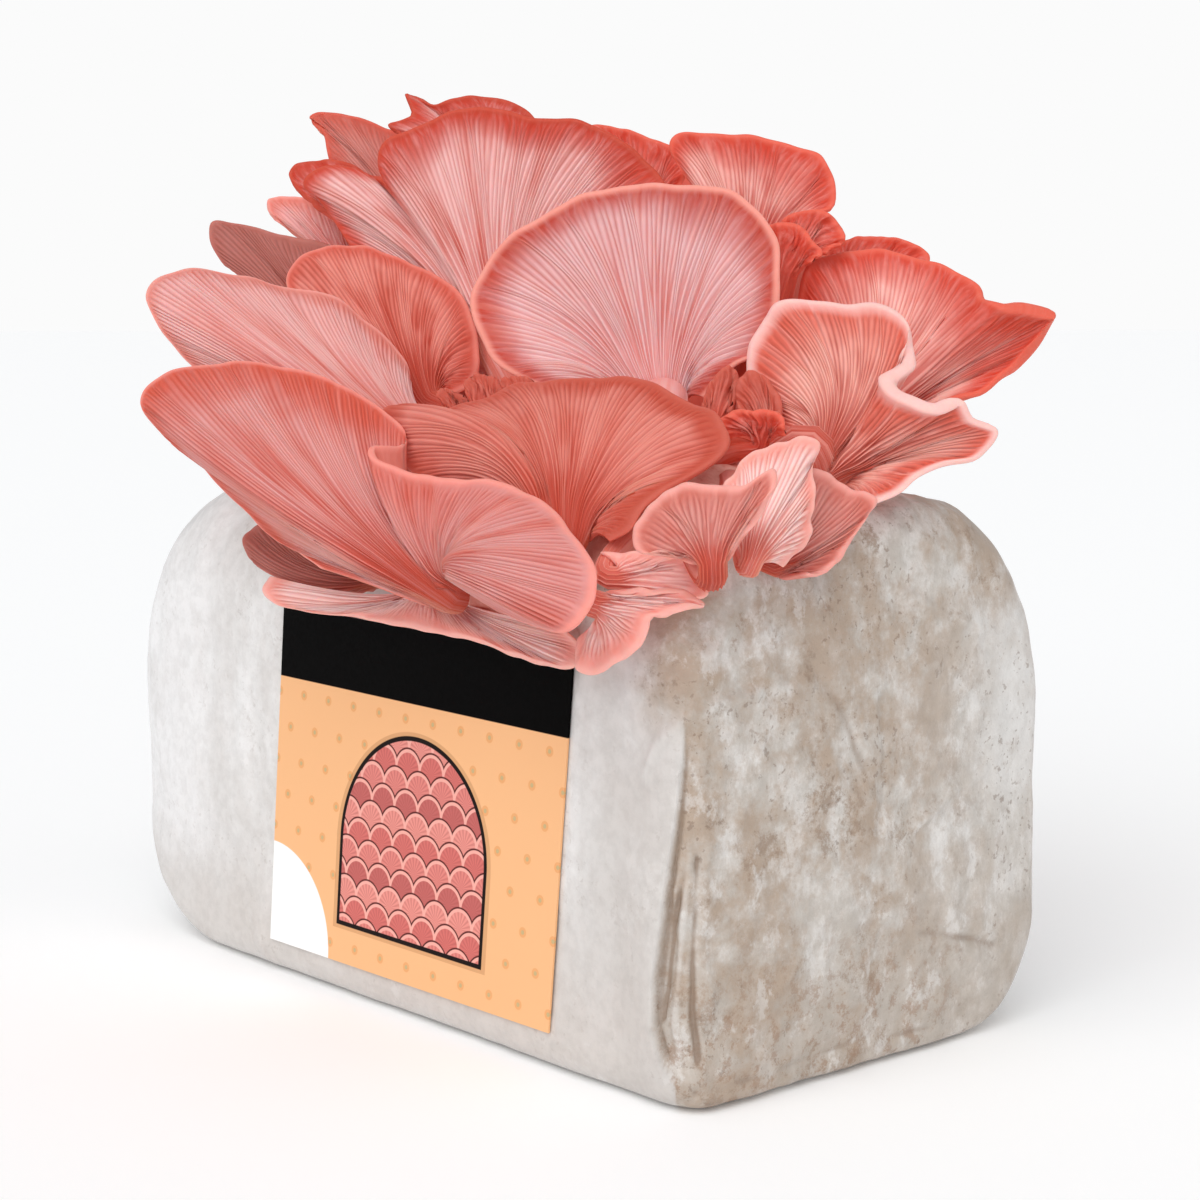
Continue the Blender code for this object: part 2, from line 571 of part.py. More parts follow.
    mushroom("mushroom_young_middle", foot=(28, 33), neck=(486, 412, 62), stem=3, shade=PINK,
             rim=[(470, 400, 60), (465, 384, 58), (478, 375, 57), (497, 379, 59), (503, 392, 62)])
    mushroom("mushroom_young_right", foot=(37, 33), neck=(522, 406, 68), stem=3, shade=PINK,
             rim=[(506, 396, 66), (501, 384, 64), (514, 376, 64), (532, 380, 66), (540, 394, 68)])
    mushroom("mushroom_young_folded", foot=(78, 52), neck=(716, 425, 86), stem=3, shade=PINK,
             rim=[(702, 408, 84), (708, 385, 82), (726, 368, 80), (737, 372, 80), (734, 395, 84),
                  (726, 412, 86)])
    mushroom("mushroom_young_round", foot=(78, 58), neck=(762, 444, 90), stem=2.5, shade=PINK,
             rim=[(738, 410, 88), (734, 385, 86), (748, 371, 85), (765, 376, 86), (778, 400, 90),
                  (776, 425, 92)])
    mushroom("mushroom_young_low", foot=(89, 47), neck=(760, 443, 102), stem=2, shade=CORAL,
             rim=[(730, 440, 102), (718, 425, 102), (730, 414, 103), (765, 410, 106), (786, 418, 108),
                  (784, 436, 108)])


def build_back_mushrooms():
    """Rim and neck points are (side, height, near) in mm as seen from behind."""
    mushroom("mushroom_back_tall", foot=(28, 100), neck=(-32, 164, 14), stem=5, shade=CORAL,
             place=from_behind,
             rim=[(-44, 180, 22), (-56, 196, 29), (-60, 208, 34), (-48, 215, 39), (-30, 219, 42),
                  (-12, 217, 48), (2, 211, 53), (10, 200, 53), (4, 188, 45), (-12, 176, 31)],
             detail=MEDIUM)
    mushroom("mushroom_back_upper_left", foot=(50, 103), neck=(-60, 164, -2), stem=4.5, shade=CORAL,
             place=from_behind,
             rim=[(-76, 168, 11), (-90, 172, 17), (-98, 181, 21), (-92, 189, 24), (-78, 194, 26),
                  (-62, 201, 26), (-48, 198, 25), (-44, 187, 21), (-50, 175, 13)],
             detail=MEDIUM)
    mushroom("mushroom_back_lower_left", foot=(72, 100), neck=(-78, 149, -12), stem=4, shade=CORAL,
             place=from_behind,
             rim=[(-90, 145, -3), (-102, 150, 6), (-105, 159, 13), (-95, 164, 18), (-80, 165, 21),
                  (-66, 162, 22), (-58, 155, 16), (-64, 147, 4)])
    mushroom("mushroom_back_upper_right", foot=(12, 94), neck=(-2, 162, 32), stem=4.5, shade=CORAL,
             place=from_behind,
             rim=[(-16, 172, 40), (-24, 186, 46), (-20, 200, 52), (-6, 206, 56), (12, 204, 60),
                  (28, 194, 62), (34, 180, 60), (26, 168, 54), (10, 162, 44)], detail=MEDIUM)
    mushroom("mushroom_back_lower_right", foot=(-1, 89), neck=(18, 152, 28), stem=4, shade=CORAL,
             place=from_behind,
             rim=[(16, 144, 38), (28, 142, 48), (44, 147, 55), (56, 154, 58), (60, 164, 58),
                  (52, 172, 58), (40, 172, 56), (28, 164, 47)])


clear_scene()
build_block()
build_label()
build_front_mushrooms()
build_back_mushrooms()
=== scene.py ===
import math

import bmesh
import bpy
import numpy as np
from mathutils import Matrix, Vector, noise


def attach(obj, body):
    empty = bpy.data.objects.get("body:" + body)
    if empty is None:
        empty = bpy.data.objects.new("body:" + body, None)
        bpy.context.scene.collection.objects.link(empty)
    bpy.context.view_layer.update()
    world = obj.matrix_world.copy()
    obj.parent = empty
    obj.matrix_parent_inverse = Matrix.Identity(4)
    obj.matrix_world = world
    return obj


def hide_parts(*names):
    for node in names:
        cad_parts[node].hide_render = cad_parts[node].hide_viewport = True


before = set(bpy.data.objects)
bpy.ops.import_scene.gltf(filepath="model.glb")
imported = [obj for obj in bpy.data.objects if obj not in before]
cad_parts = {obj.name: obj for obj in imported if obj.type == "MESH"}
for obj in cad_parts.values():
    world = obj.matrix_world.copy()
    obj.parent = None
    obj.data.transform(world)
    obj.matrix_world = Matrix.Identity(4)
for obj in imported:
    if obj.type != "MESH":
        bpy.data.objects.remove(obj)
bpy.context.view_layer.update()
mm = 0.001


def tone(red, green, blue):
    # screen colour, 0 to 255, as the linear colour the shaders take
    values = [c / 255.0 for c in (red, green, blue)]
    return tuple(c / 12.92 if c <= 0.04045 else ((c + 0.055) / 1.055) ** 2.4 for c in values) + (1.0,)


def unit(vectors):
    return vectors / np.maximum(np.linalg.norm(vectors, axis=-1, keepdims=True), 1e-9)


def smooth(t):
    # smooth step from 0 to 1 while t goes from 0 to 1
    t = np.clip(t, 0.0, 1.0)
    return t * t * (3.0 - 2.0 * t)


def noiseAt(points, size, seed):
    # soft noise from -1 to 1 at each point, for bumps about this size
    shift = Vector((seed * 7.31, seed * 3.17, seed * 5.77))
    return np.array([noise.noise(Vector(p) / size + shift) for p in points])


# camera, floor and light

camera = {"eye": (0.4834, -0.4063, 0.1730), "azimuth": 49.0, "pitch": 6.6, "lens": 72.0, "sensor": 36.0}
eye = np.array(camera["eye"])
azimuth, pitch = math.radians(camera["azimuth"]), math.radians(camera["pitch"])
level = np.array([-math.sin(azimuth), math.cos(azimuth), 0.0])
ahead = level * math.cos(pitch) - np.array([0.0, 0.0, math.sin(pitch)])
rightward = np.array([math.cos(azimuth), math.sin(azimuth), 0.0])
upward = np.cross(rightward, ahead)

studio = {
    "floor": tone(253, 254, 255), "floorRoughness": 0.9, "floorReach": 40.0,
    "floorGlow": 0.065,   # lifts the floor to the photo's white
    "sky": 0.46,
    "backdrop": 0.965,   # what the camera sees of the sky, as pale as the floor
    # where the light comes from (right, up and towards the viewer), its strength and how soft it is
    "key": ((-0.40, 1.05, 0.95), 1.85, 60.0),
    "fill": ((0.8, 0.35, 0.9), 0.50, 90.0),
}


def buildCamera():
    data = bpy.data.cameras.new("camera")
    data.lens = camera["lens"]
    data.sensor_width = camera["sensor"]
    made = bpy.data.objects.new("camera", data)
    made.location = camera["eye"]
    made.rotation_euler = (math.pi / 2 - pitch, 0.0, azimuth)
    bpy.context.scene.collection.objects.link(made)
    bpy.context.scene.camera = made


def buildSky():
    world = bpy.data.worlds.new("studio")
    world.use_nodes = True
    tree = world.node_tree
    sky = tree.nodes["Background"]
    sky.inputs["Color"].default_value = (1.0, 1.0, 1.0, 1.0)
    sight = tree.nodes.new("ShaderNodeLightPath")
    strength = tree.nodes.new("ShaderNodeMix")
    strength.inputs["A"].default_value = studio["sky"]
    strength.inputs["B"].default_value = studio["backdrop"]
    tree.links.new(sight.outputs["Is Camera Ray"], strength.inputs["Factor"])
    tree.links.new(strength.outputs["Result"], sky.inputs["Strength"])
    bpy.context.scene.world = world


def buildLamp(name):
    (side, up, near), power, softness = studio[name]
    data = bpy.data.lights.new(name, "SUN")
    data.energy = power
    data.angle = math.radians(softness)
    lamp = bpy.data.objects.new(name, data)
    away = rightward * side + np.array([0.0, 0.0, up]) - level * near
    lamp.location = away
    lamp.rotation_euler = Vector(away).to_track_quat("Z", "Y").to_euler()
    bpy.context.scene.collection.objects.link(lamp)


def buildFloor():
    reach = studio["floorReach"]
    corners = [(-reach, -reach, 0), (reach, -reach, 0), (reach, reach, 0), (-reach, reach, 0)]
    mesh = bpy.data.meshes.new("floor")
    mesh.from_pydata(corners, [], [(0, 1, 2, 3)])
    floor = bpy.data.objects.new("floor", mesh)
    finish = bpy.data.materials.new("paleFloor")
    finish.use_nodes = True
    shader = finish.node_tree.nodes["Principled BSDF"].inputs
    shader["Base Color"].default_value = studio["floor"]
    shader["Roughness"].default_value = studio["floorRoughness"]
    shader["Emission Color"].default_value = (1.0, 1.0, 1.0, 1.0)
    shader["Emission Strength"].default_value = studio["floorGlow"]
    mesh.materials.append(finish)
    bpy.context.scene.collection.objects.link(floor)


bpy.context.scene.view_settings.view_transform = "Standard"
buildCamera()
buildSky()
for name in ("key", "fill"):
    buildLamp(name)
buildFloor()
print("camera and studio set")


# small helpers for node trees and meshes

class Nodes:
    # short ways to write a node tree, where every value is a socket or a plain value
    def __init__(self, tree):
        self.tree = tree

    def add(self, kind, **settings):
        node = self.tree.nodes.new(kind)
        for name, value in settings.items():
            setattr(node, name, value)
        return node

    def join(self, value, socket):
        if isinstance(value, bpy.types.NodeSocket):
            self.tree.links.new(value, socket)
        elif value is not None:
            socket.default_value = value

    def filled(self, kind, inputs, **settings):
        node = self.add(kind, **settings)
        for name, value in inputs.items():
            self.join(value, node.inputs[name])
        return node

    def math(self, operation, *values):
        return self.filled("ShaderNodeMath", dict(enumerate(values)), operation=operation).outputs[0]

    def times(self, first, *others):
        for other in others:
            first = self.math("MULTIPLY", first, other)
        return first

    def plus(self, first, second):
        return self.math("ADD", first, second)

    def minus(self, first, second):
        return self.math("SUBTRACT", first, second)

    def most(self, first, second):
        return self.math("MAXIMUM", first, second)

    def hypot(self, first, second):
        return self.math("SQRT", self.plus(self.times(first, first), self.times(second, second)))

    def ramp(self, value, low, high, toLow=0.0, toHigh=1.0):
        # smooth step from toLow to toHigh while value goes from low to high
        inputs = {"Value": value, "From Min": low, "From Max": high, "To Min": toLow, "To Max": toHigh}
        return self.filled("ShaderNodeMapRange", inputs, interpolation_type="SMOOTHSTEP").outputs["Result"]

    def mix(self, factor, first, second):
        # the node's inputs 6 and 7 are its two colours, and its output 2 is the mixed one
        return self.filled("ShaderNodeMix", {0: factor, 6: first, 7: second}, data_type="RGBA").outputs[2]

    def noise(self, vector, scale, detail=3.0, roughness=0.5, stretch=None, **settings):
        if stretch:
            vector = self.filled("ShaderNodeMapping", {"Vector": vector, "Scale": stretch}).outputs["Vector"]
        inputs = {"Vector": vector, "Scale": scale, "Detail": detail, "Roughness": roughness}
        return self.filled("ShaderNodeTexNoise", inputs, **settings).outputs["Fac"]

    def place(self):
        return self.add("ShaderNodeTexCoord").outputs["Object"]

    def parts(self, vector):
        return self.filled("ShaderNodeSeparateXYZ", {"Vector": vector}).outputs

    def attribute(self, name):
        return self.add("ShaderNodeAttribute", attribute_name=name).outputs["Fac"]


def newMaterial(name):
    made = bpy.data.materials.new(name)
    made.use_nodes = True
    return made, Nodes(made.node_tree), made.node_tree.nodes["Principled BSDF"].inputs


def dress(n, shader, colour, roughness, height, relief, strength=None):
    # joins colour and roughness to the shader, and height as bumps this many metres high
    bump = n.filled("ShaderNodeBump", {"Height": height, "Distance": relief, "Strength": strength})
    for name, value in (("Base Color", colour), ("Roughness", roughness), ("Normal", bump.outputs["Normal"])):
        n.join(value, shader[name])


def finishPiece(name, mesh, node):
    piece = bpy.data.objects.new(name, mesh)
    bpy.context.scene.collection.objects.link(piece)
    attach(piece, "root")
    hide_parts(node)


def meshFrom(name, points, faces):
    mesh = bpy.data.meshes.new(name)
    mesh.from_pydata(np.asarray(points).tolist(), [], faces)
    work = bmesh.new()
    work.from_mesh(mesh)
    bmesh.ops.recalc_face_normals(work, faces=work.faces)
    if work.calc_volume(signed=True) < 0.0:
        bmesh.ops.reverse_faces(work, faces=work.faces)
    work.to_mesh(mesh)
    work.free()
    mesh.shade_smooth()
    return mesh


def pointsAndNormals(mesh):
    return tuple(np.array([getattr(v, part)[:] for v in mesh.vertices]) for part in ("co", "normal"))


def tubeFaces(rows, count):
    # quads between rings of count points each
    faces = []
    for row in range(rows):
        for i in range(count):
            a, b = row * count + i, row * count + (i + 1) % count
            faces.append((a, b, b + count, a + count))
    return faces


def addAttribute(mesh, name, values):
    layer = mesh.attributes.new(name, "FLOAT", "POINT")
    layer.data.foreach_set("value", np.asarray(values, dtype=np.float32))


# the block's outer shape, as the frame has it

block = {
    "left": -0.128, "right": 0.113, "depth": 0.120, "height": 0.132,
    # radius of each long edge
    "frontTop": 0.032, "backTop": 0.044, "backBottom": 0.025, "frontBottom": 0.006,
    "leastFlat": 0.004,   # height left between the corners where the ends grow low
    # rounding, drop, lift and narrowing of each end
    "leftEnd": (0.050, 0.052, 0.048, 0.016),
    "rightEnd": (0.011, 0.012, 0.002, 0.006),
    "bulge": 0.003,   # of the ends
    "gap": 0.0003, "film": 0.0008,
}
filmFoot = block["gap"] + block["film"]   # how far the film's outer side lies from the block


def endShape(x):
    # drop, lift and narrowing of the section at x
    shape = np.zeros(3)
    for key, inside in (("leftEnd", x - block["left"]), ("rightEnd", block["right"] - x)):
        rounding, *sizes = block[key]
        inward = 1.0 - min(max(inside / rounding, 0.0), 1.0)
        shape += (1.0 - math.sqrt(max(1.0 - inward ** 2, 0.0))) * np.array(sizes)
    return shape


def sectionPoint(x, v):
    # v counts corners and sides in turn from the front-top corner
    drop, lift, side = endShape(x)
    front, back = side - block["depth"] / 2, block["depth"] / 2 - side
    bottom, top = lift + filmFoot, block["height"] - drop
    fit = min(1.0, (top - bottom) / (block["backTop"] + block["backBottom"] + block["leastFlat"]))
    a, b, c, d = (block[key] * fit for key in ("frontTop", "backTop", "backBottom", "frontBottom"))
    corners = ((front + a, top - a, a), (back - b, top - b, b),
               (back - c, bottom + c, c), (front + d, bottom + d, d))
    part = int(v % 8)
    f = v % 8 - part

    def onCorner(corner, quarters):
        y, z, radius = corners[corner % 4]
        turn = quarters * math.pi / 2
        return np.array([x, y - radius * math.cos(turn), z + radius * math.sin(turn)])

    corner = part // 2
    if part % 2 == 0:
        return onCorner(corner, corner + f)
    start, stop = onCorner(corner, corner + 1), onCorner(corner + 1, corner + 1)
    return start + f * (stop - start)


def topOf(x):
    # front edge and height of the section's top, length of its front corner and of its flat
    drop, _, side = endShape(x)
    flat = block["depth"] - 2 * side - block["frontTop"] - block["backTop"]
    return side - block["depth"] / 2, block["height"] - drop, block["frontTop"] * math.pi / 2, flat


def shoulder(x, arc, height=0.0):
    # point above the skin; arc runs over the top from where the front face ends
    front, top, quarter, flat = topOf(x)
    radius, hub, turn = block["frontTop"], front + block["frontTop"], 0.0
    if 0.0 <= arc < quarter:
        turn = arc / radius
    elif quarter <= arc < quarter + flat:
        turn = math.pi / 2
        hub += arc - quarter
    elif arc >= quarter + flat:
        radius = block["backTop"]
        turn = math.pi / 2 + (arc - quarter - flat) / radius
        hub += flat
    out = np.array([0.0, -math.cos(turn), math.sin(turn)])
    foot = np.array([x, hub, top - radius]) + radius * out
    foot[2] += min(arc, 0.0)
    return foot + height * out


def arcOf(point):
    # how far over the top the point lies, measured from where the front face ends
    x, y, z = point
    front, top, quarter, flat = topOf(x)
    hubY, hubZ = front + block["frontTop"], top - block["frontTop"]
    if y < hubY:
        return z - hubZ if z < hubZ else block["frontTop"] * math.atan2(z - hubZ, hubY - y)
    if y < hubY + flat:
        return quarter + y - hubY
    radius, hubZ = block["backTop"], top - block["backTop"]
    past = radius * math.pi / 2 + hubZ - z if z < hubZ else radius * math.atan2(y - hubY - flat, z - hubZ)
    return quarter + flat + past


# where the paper label lies on the front face

label = {
    # x and z of its corners, from the lower left one round
    "corners": ((-0.047, 0.0096), (0.069, 0.0100), (0.078, 0.0980), (-0.038, 0.1000)),
    "width": 116.0, "height": 90.0,   # mm, the scale of the printed design
    "steps": (48, 36), "paper": 0.0005,
}

# film bag

knot = {
    "x": 0.044, "arc": 0.057, "halfLength": 0.060, "halfWidth": 0.053,
    "height": 0.012, "undercut": 0.0020,
}

bag = {
    "stations": (40, 104, 40),   # rings along the left end, the middle and the right end
    "around": (40, 34, 46, 40, 30, 48, 12, 56),   # quads on each corner and side in turn
    "endRings": (30, 60),
    "step": 0.00002, "turnStep": 0.001,   # between the points that give the skin's slope
    # sizes and heights of the relief: lumps of the block, then the film's wrinkles and sharp crinkles
    "lumpSizes": (0.040, 0.016), "lump": 0.0010,
    "wrinkleSize": 0.008, "wrinkleStretch": 0.22, "calmSize": 0.05, "wrinkle": 0.0006,
    "crinkleSizes": (0.013, 0.009), "crinkle": 0.00027,
    "wanderSize": 0.011, "wander": 0.0011, "faintSize": 0.016,   # how folds stray from their lines and fade
    "lowest": -0.0005,   # the film never sinks further than this towards the block
    "slitRatio": 0.95, "slitLip": 0.0022, "turnedIn": 0.0012,
    "slitLowest": 0.07,   # the slit is all above this height
    "labelMargin": 0.002,
    "restHeight": 0.006,   # below this the film flattens on the floor
}

# folds of the film: line in mm, height (a valley has less than 0) and half width in mm
folds = (
    (((111.8, -59.9, 70.6), (112.5, -60.2, 61), (109.9, -59.4, 47.5), (108, -60, 33), (107.5, -60, 22)),
     -1.3, 0.9),
    (((112.8, -59.9, 63.9), (111.4, -58.8, 48.7), (110.6, -59.4, 30), (110.4, -58.8, 15)), 1.2, 1.0),
    (((113.5, -57.3, 57.1), (113.6, -57.5, 49.4), (113.0, -57.3, 31.2), (112.6, -56.5, 12)), -1.5, 0.9),
    (((115.2, -55, 60), (115.4, -55, 36), (115.4, -53, 14)), 0.9, 1.0),
    (((102.0, -61.6, 75.1), (105.8, -61.3, 82.9), (112.5, -58, 90), (115.4, -48, 92), (116, -39.8, 93.2)),
     1.0, 1.1),
    (((115.6, -37.3, 109.0), (116.2, -27.6, 100.2), (116.8, -17.0, 89.3), (116.5, -7.7, 71.5)), -0.8, 1.4),
    (((115.3, 35.3, 66.1), (116.1, 21.0, 61.1), (116.7, 9.7, 55.7)), 0.9, 1.5),
    (((116.7, 13.1, 30.5), (116.4, 27.4, 26.5), (115.2, 41.5, 21.9)), -0.9, 1.5),
    (((112.6, -57, 5.5), (114.8, -40, 6), (115.2, -25.6, 6.5), (115.4, -6, 7.3), (115.2, 18.3, 5.6)),
     -1.0, 1.1),
    (((115.7, -50, 12), (115.9, -39.5, 10.1), (116, -24, 11), (116, -8, 12)), 0.9, 1.3),
    (((116.4, -2.3, 86.9), (117.1, -1.6, 73.5), (116.9, -2.4, 57.0)), -0.7, 1.4),
    (((116, -12, 118), (116, 10, 110), (115, 41, 97)), 0.8, 1.5),
)
# folds colour the film too: painted shade along valleys, painted highlight along ridges
fullFoldShading = 1.3   # a fold this high in mm has its full colour

cornerFold = {
    # way along the skin, round the corner too, and height of the loose flap's edge, top to bottom, in mm
    "edge": ((113.2, 80), (112.6, 75.5), (111.3, 64.8), (109.3, 54.3), (107.5, 41.6), (105.6, 30),
             (105.2, 20.4), (107.6, 12), (111, 7)),
    "face": -0.0611,   # y of the front face
    "height": 0.0019, "depth": 0.0009,
    "drop": 0.0009, "slope": 0.016,   # width of the edge's step, and of the rise to it
}


def ratioFrom(x, arc):
    # distance from the knot's middle, where 1 is its outline
    return math.hypot((x - knot["x"]) / knot["halfLength"], (arc - knot["arc"]) / knot["halfWidth"])


def slitRatioAt(point):
    return ratioFrom(point[0], arcOf(point)) if point[2] >= bag["slitLowest"] else 9.0


def ridged(points, size, seed):
    # sharp crests between round hollows, as in crumpled film
    return 1.0 - np.abs(noiseAt(points, size, seed)) * 5.0


def distanceTo(points, line):
    # distance from each point to a line of points in mm
    corners = np.array(line, dtype=float) * mm
    nearest = np.full(len(points), 1.0)
    for a, b in zip(corners, corners[1:]):
        f = np.clip((points - a) @ (b - a) / ((b - a) @ (b - a)), 0.0, 1.0)
        nearest = np.minimum(nearest, np.linalg.norm(points - a - f[:, None] * (b - a), axis=1))
    return nearest


def underLabel(points):
    # whether the label, grown by its margin, covers each point
    corners = np.array(label["corners"])
    covered = points[:, 1] < -0.05
    for a, b in zip(corners, np.roll(corners, -1, axis=0)):
        side = unit(b - a)
        away = (points[:, 0] - a[0]) * side[1] - (points[:, 2] - a[1]) * side[0]
        covered &= away < bag["labelMargin"]
    return covered


def cornerFlap(points):
    # the film is gathered at the front right corner: a loose flap with a sharp edge, and a groove behind it;
    # returns both, and where the brown end begins
    edge = np.array(cornerFold["edge"]) * mm
    x, y, z = points.T
    line = np.interp(z, edge[::-1, 1], edge[::-1, 0])
    beyond = x + np.maximum(y - cornerFold["face"], 0.0) - line
    step = smooth(beyond / cornerFold["drop"])
    flap = smooth(beyond / cornerFold["slope"] + 1.0) * (1.0 - step)
    groove = step * (1.0 - smooth((beyond - 0.0012) / 0.0014))
    front = smooth((-0.046 - y) / 0.006)
    reach = smooth((z - 0.006) / 0.010) * smooth((0.090 - z) / 0.014) * front
    above = smooth((z - 0.080) / 0.016)
    behindEdge = np.maximum(step, 1.0 - front) * smooth((x - 0.098) / 0.006)
    onEnd = above * smooth((x - 0.092) / 0.018) + (1.0 - above) * behindEdge
    return reach * flap, reach * groove, onEnd


def filmRelief(points, ratios):
    # how far the film rises above the smooth skin, its painted fold shade and highlight, and where the brown
    # end is
    x, y, z = points.T
    lumps = [noiseAt(points, size, seed) for seed, size in enumerate(bag["lumpSizes"], 1)]
    rise = bag["lump"] * (0.3 + lumps[0] + 0.3 * lumps[1])
    upright = points * np.array([1.0, 1.0, bag["wrinkleStretch"]])
    calm = smooth((noiseAt(points, bag["calmSize"], 4) + 0.25) / 0.5)
    rise += bag["wrinkle"] * noiseAt(upright, bag["wrinkleSize"], 3) * calm
    slanted = np.stack([x, y * 0.8 + z * 0.6, (z * 0.8 - y * 0.6) * 0.3], axis=1)
    flap, groove, onEnd = cornerFlap(points)
    crinkle = bag["crinkle"] * (1.0 - 0.7 * smooth((y - 0.025) / 0.020))
    rise += crinkle * (0.35 + 0.65 * onEnd) * ridged(slanted, bag["crinkleSizes"][0], 5)
    rise += crinkle * (0.2 + 0.8 * onEnd) * ridged(points, bag["crinkleSizes"][1], 6)
    rise += cornerFold["height"] * flap - cornerFold["depth"] * groove
    # painted shade in the groove behind the corner flap
    foldShadeAndHighlight = -0.6 * groove
    stray = np.stack([noiseAt(points, bag["wanderSize"], seed) for seed in (21, 22, 23)], axis=1)
    wandering = points + bag["wander"] * stray
    faint = 0.85 + 0.35 * noiseAt(points, bag["faintSize"], 24)
    for line, height, width in folds:
        near = np.exp(-(distanceTo(wandering, line) / (width * mm)) ** 2) * faint
        rise += height * mm * near
        # painted shade along each valley and painted highlight along each ridge
        foldShadeAndHighlight += height * min(abs(height) / fullFoldShading, 1.0) * near ** 1.5
    lip = bag["slitLip"] * (1.0 - smooth((ratios - 0.96) / 0.10))
    rise += lip * (0.6 + 0.6 * noiseAt(points, 0.008, 7))
    rise = np.maximum(rise, bag["lowest"])
    rise = np.where(underLabel(points), np.minimum(rise, 0.0), rise)
    resting = smooth(z / bag["restHeight"])
    return rise * np.where(rise < 0.0, resting, 0.25 + 0.75 * resting), foldShadeAndHighlight, onEnd


def skin():
    # closed smooth skin round the block: rings from end to end, with a pole at each end
    turns = [part + i / pieces for part, pieces in enumerate(bag["around"]) for i in range(pieces)]
    leftStop, rightStart = block["left"] + block["leftEnd"][0], block["right"] - block["rightEnd"][0]
    left, middle, right = bag["stations"]
    stations = [block["left"] + block["leftEnd"][0] * (i / left) ** 2 for i in range(left)]
    stations += list(np.linspace(leftStop, rightStart, middle))
    rounding = block["rightEnd"][0]
    stations += [block["right"] - rounding * (1.0 - i / right) ** 1.5 for i in range(1, right + 1)]
    step, turnStep = bag["step"], bag["turnStep"]
    rings = []
    for x in stations:
        before, after = max(x - step, block["left"]), min(x + step, block["right"])
        ring = []
        for v in turns:
            along = sectionPoint(after, v) - sectionPoint(before, v)
            around = sectionPoint(x, v + turnStep) - sectionPoint(x, v - turnStep)
            ring.append(sectionPoint(x, v) + filmFoot * unit(np.cross(along, around)))
        rings.append(np.array(ring))
    closing, poles = [], []
    for ring, count, outward in zip((rings[0], rings[-1]), bag["endRings"], (-1.0, 1.0)):
        centre = ring.mean(axis=0)
        bulge = np.array([outward * block["bulge"], 0.0, 0.0])
        shares = 1.0 - (np.arange(1, count) / count) ** 1.4
        closing.append([centre + (ring - centre) * f + bulge * (1.0 - f ** 2) for f in shares])
        poles.append((centre + bulge)[None])
    rings = closing[0][::-1] + rings + closing[1]
    count = len(turns)
    points = np.vstack(rings + poles)
    faces = tubeFaces(len(rings) - 1, count)
    first, last = len(points) - 2, len(points) - 1
    lastRing = (len(rings) - 1) * count
    for i in range(count):
        faces.append((first, (i + 1) % count, i))
        faces.append((last, lastRing + i, lastRing + (i + 1) % count))
    return meshFrom("bagShape", points, faces)


def buildBag():
    mesh = skin()
    points, normals = pointsAndNormals(mesh)
    ratios = np.array([slitRatioAt(p) for p in points])
    rise, foldShadeAndHighlight, onEnd = filmRelief(points, ratios)
    moved = points + normals * rise[:, None]
    moved[:, 2] = np.maximum(moved[:, 2], 0.0)
    mesh.vertices.foreach_set("co", moved.ravel())
    addAttribute(mesh, "onEnd", onEnd)
    addAttribute(mesh, "paintedFoldShadeAndHighlight", foldShadeAndHighlight)

    # the slit: the film is open where the mushrooms' knot comes through, its edge turned in
    work = bmesh.new()
    work.from_mesh(mesh)
    opened = [f for f in work.faces if all(ratios[v.index] < bag["slitRatio"] for v in f.verts)]
    bmesh.ops.delete(work, geom=opened, context="FACES")
    turned = bmesh.ops.extrude_edge_only(work, edges=[e for e in work.edges if e.is_boundary])["geom"]
    for vertex in turned:
        if isinstance(vertex, bmesh.types.BMVert):
            vertex.co.z -= bag["turnedIn"]
    work.to_mesh(mesh)
    work.free()
    mesh.shade_smooth()
    mesh.materials.append(filmFinish())
    finishPiece("film_bag", mesh, "grow_bag")


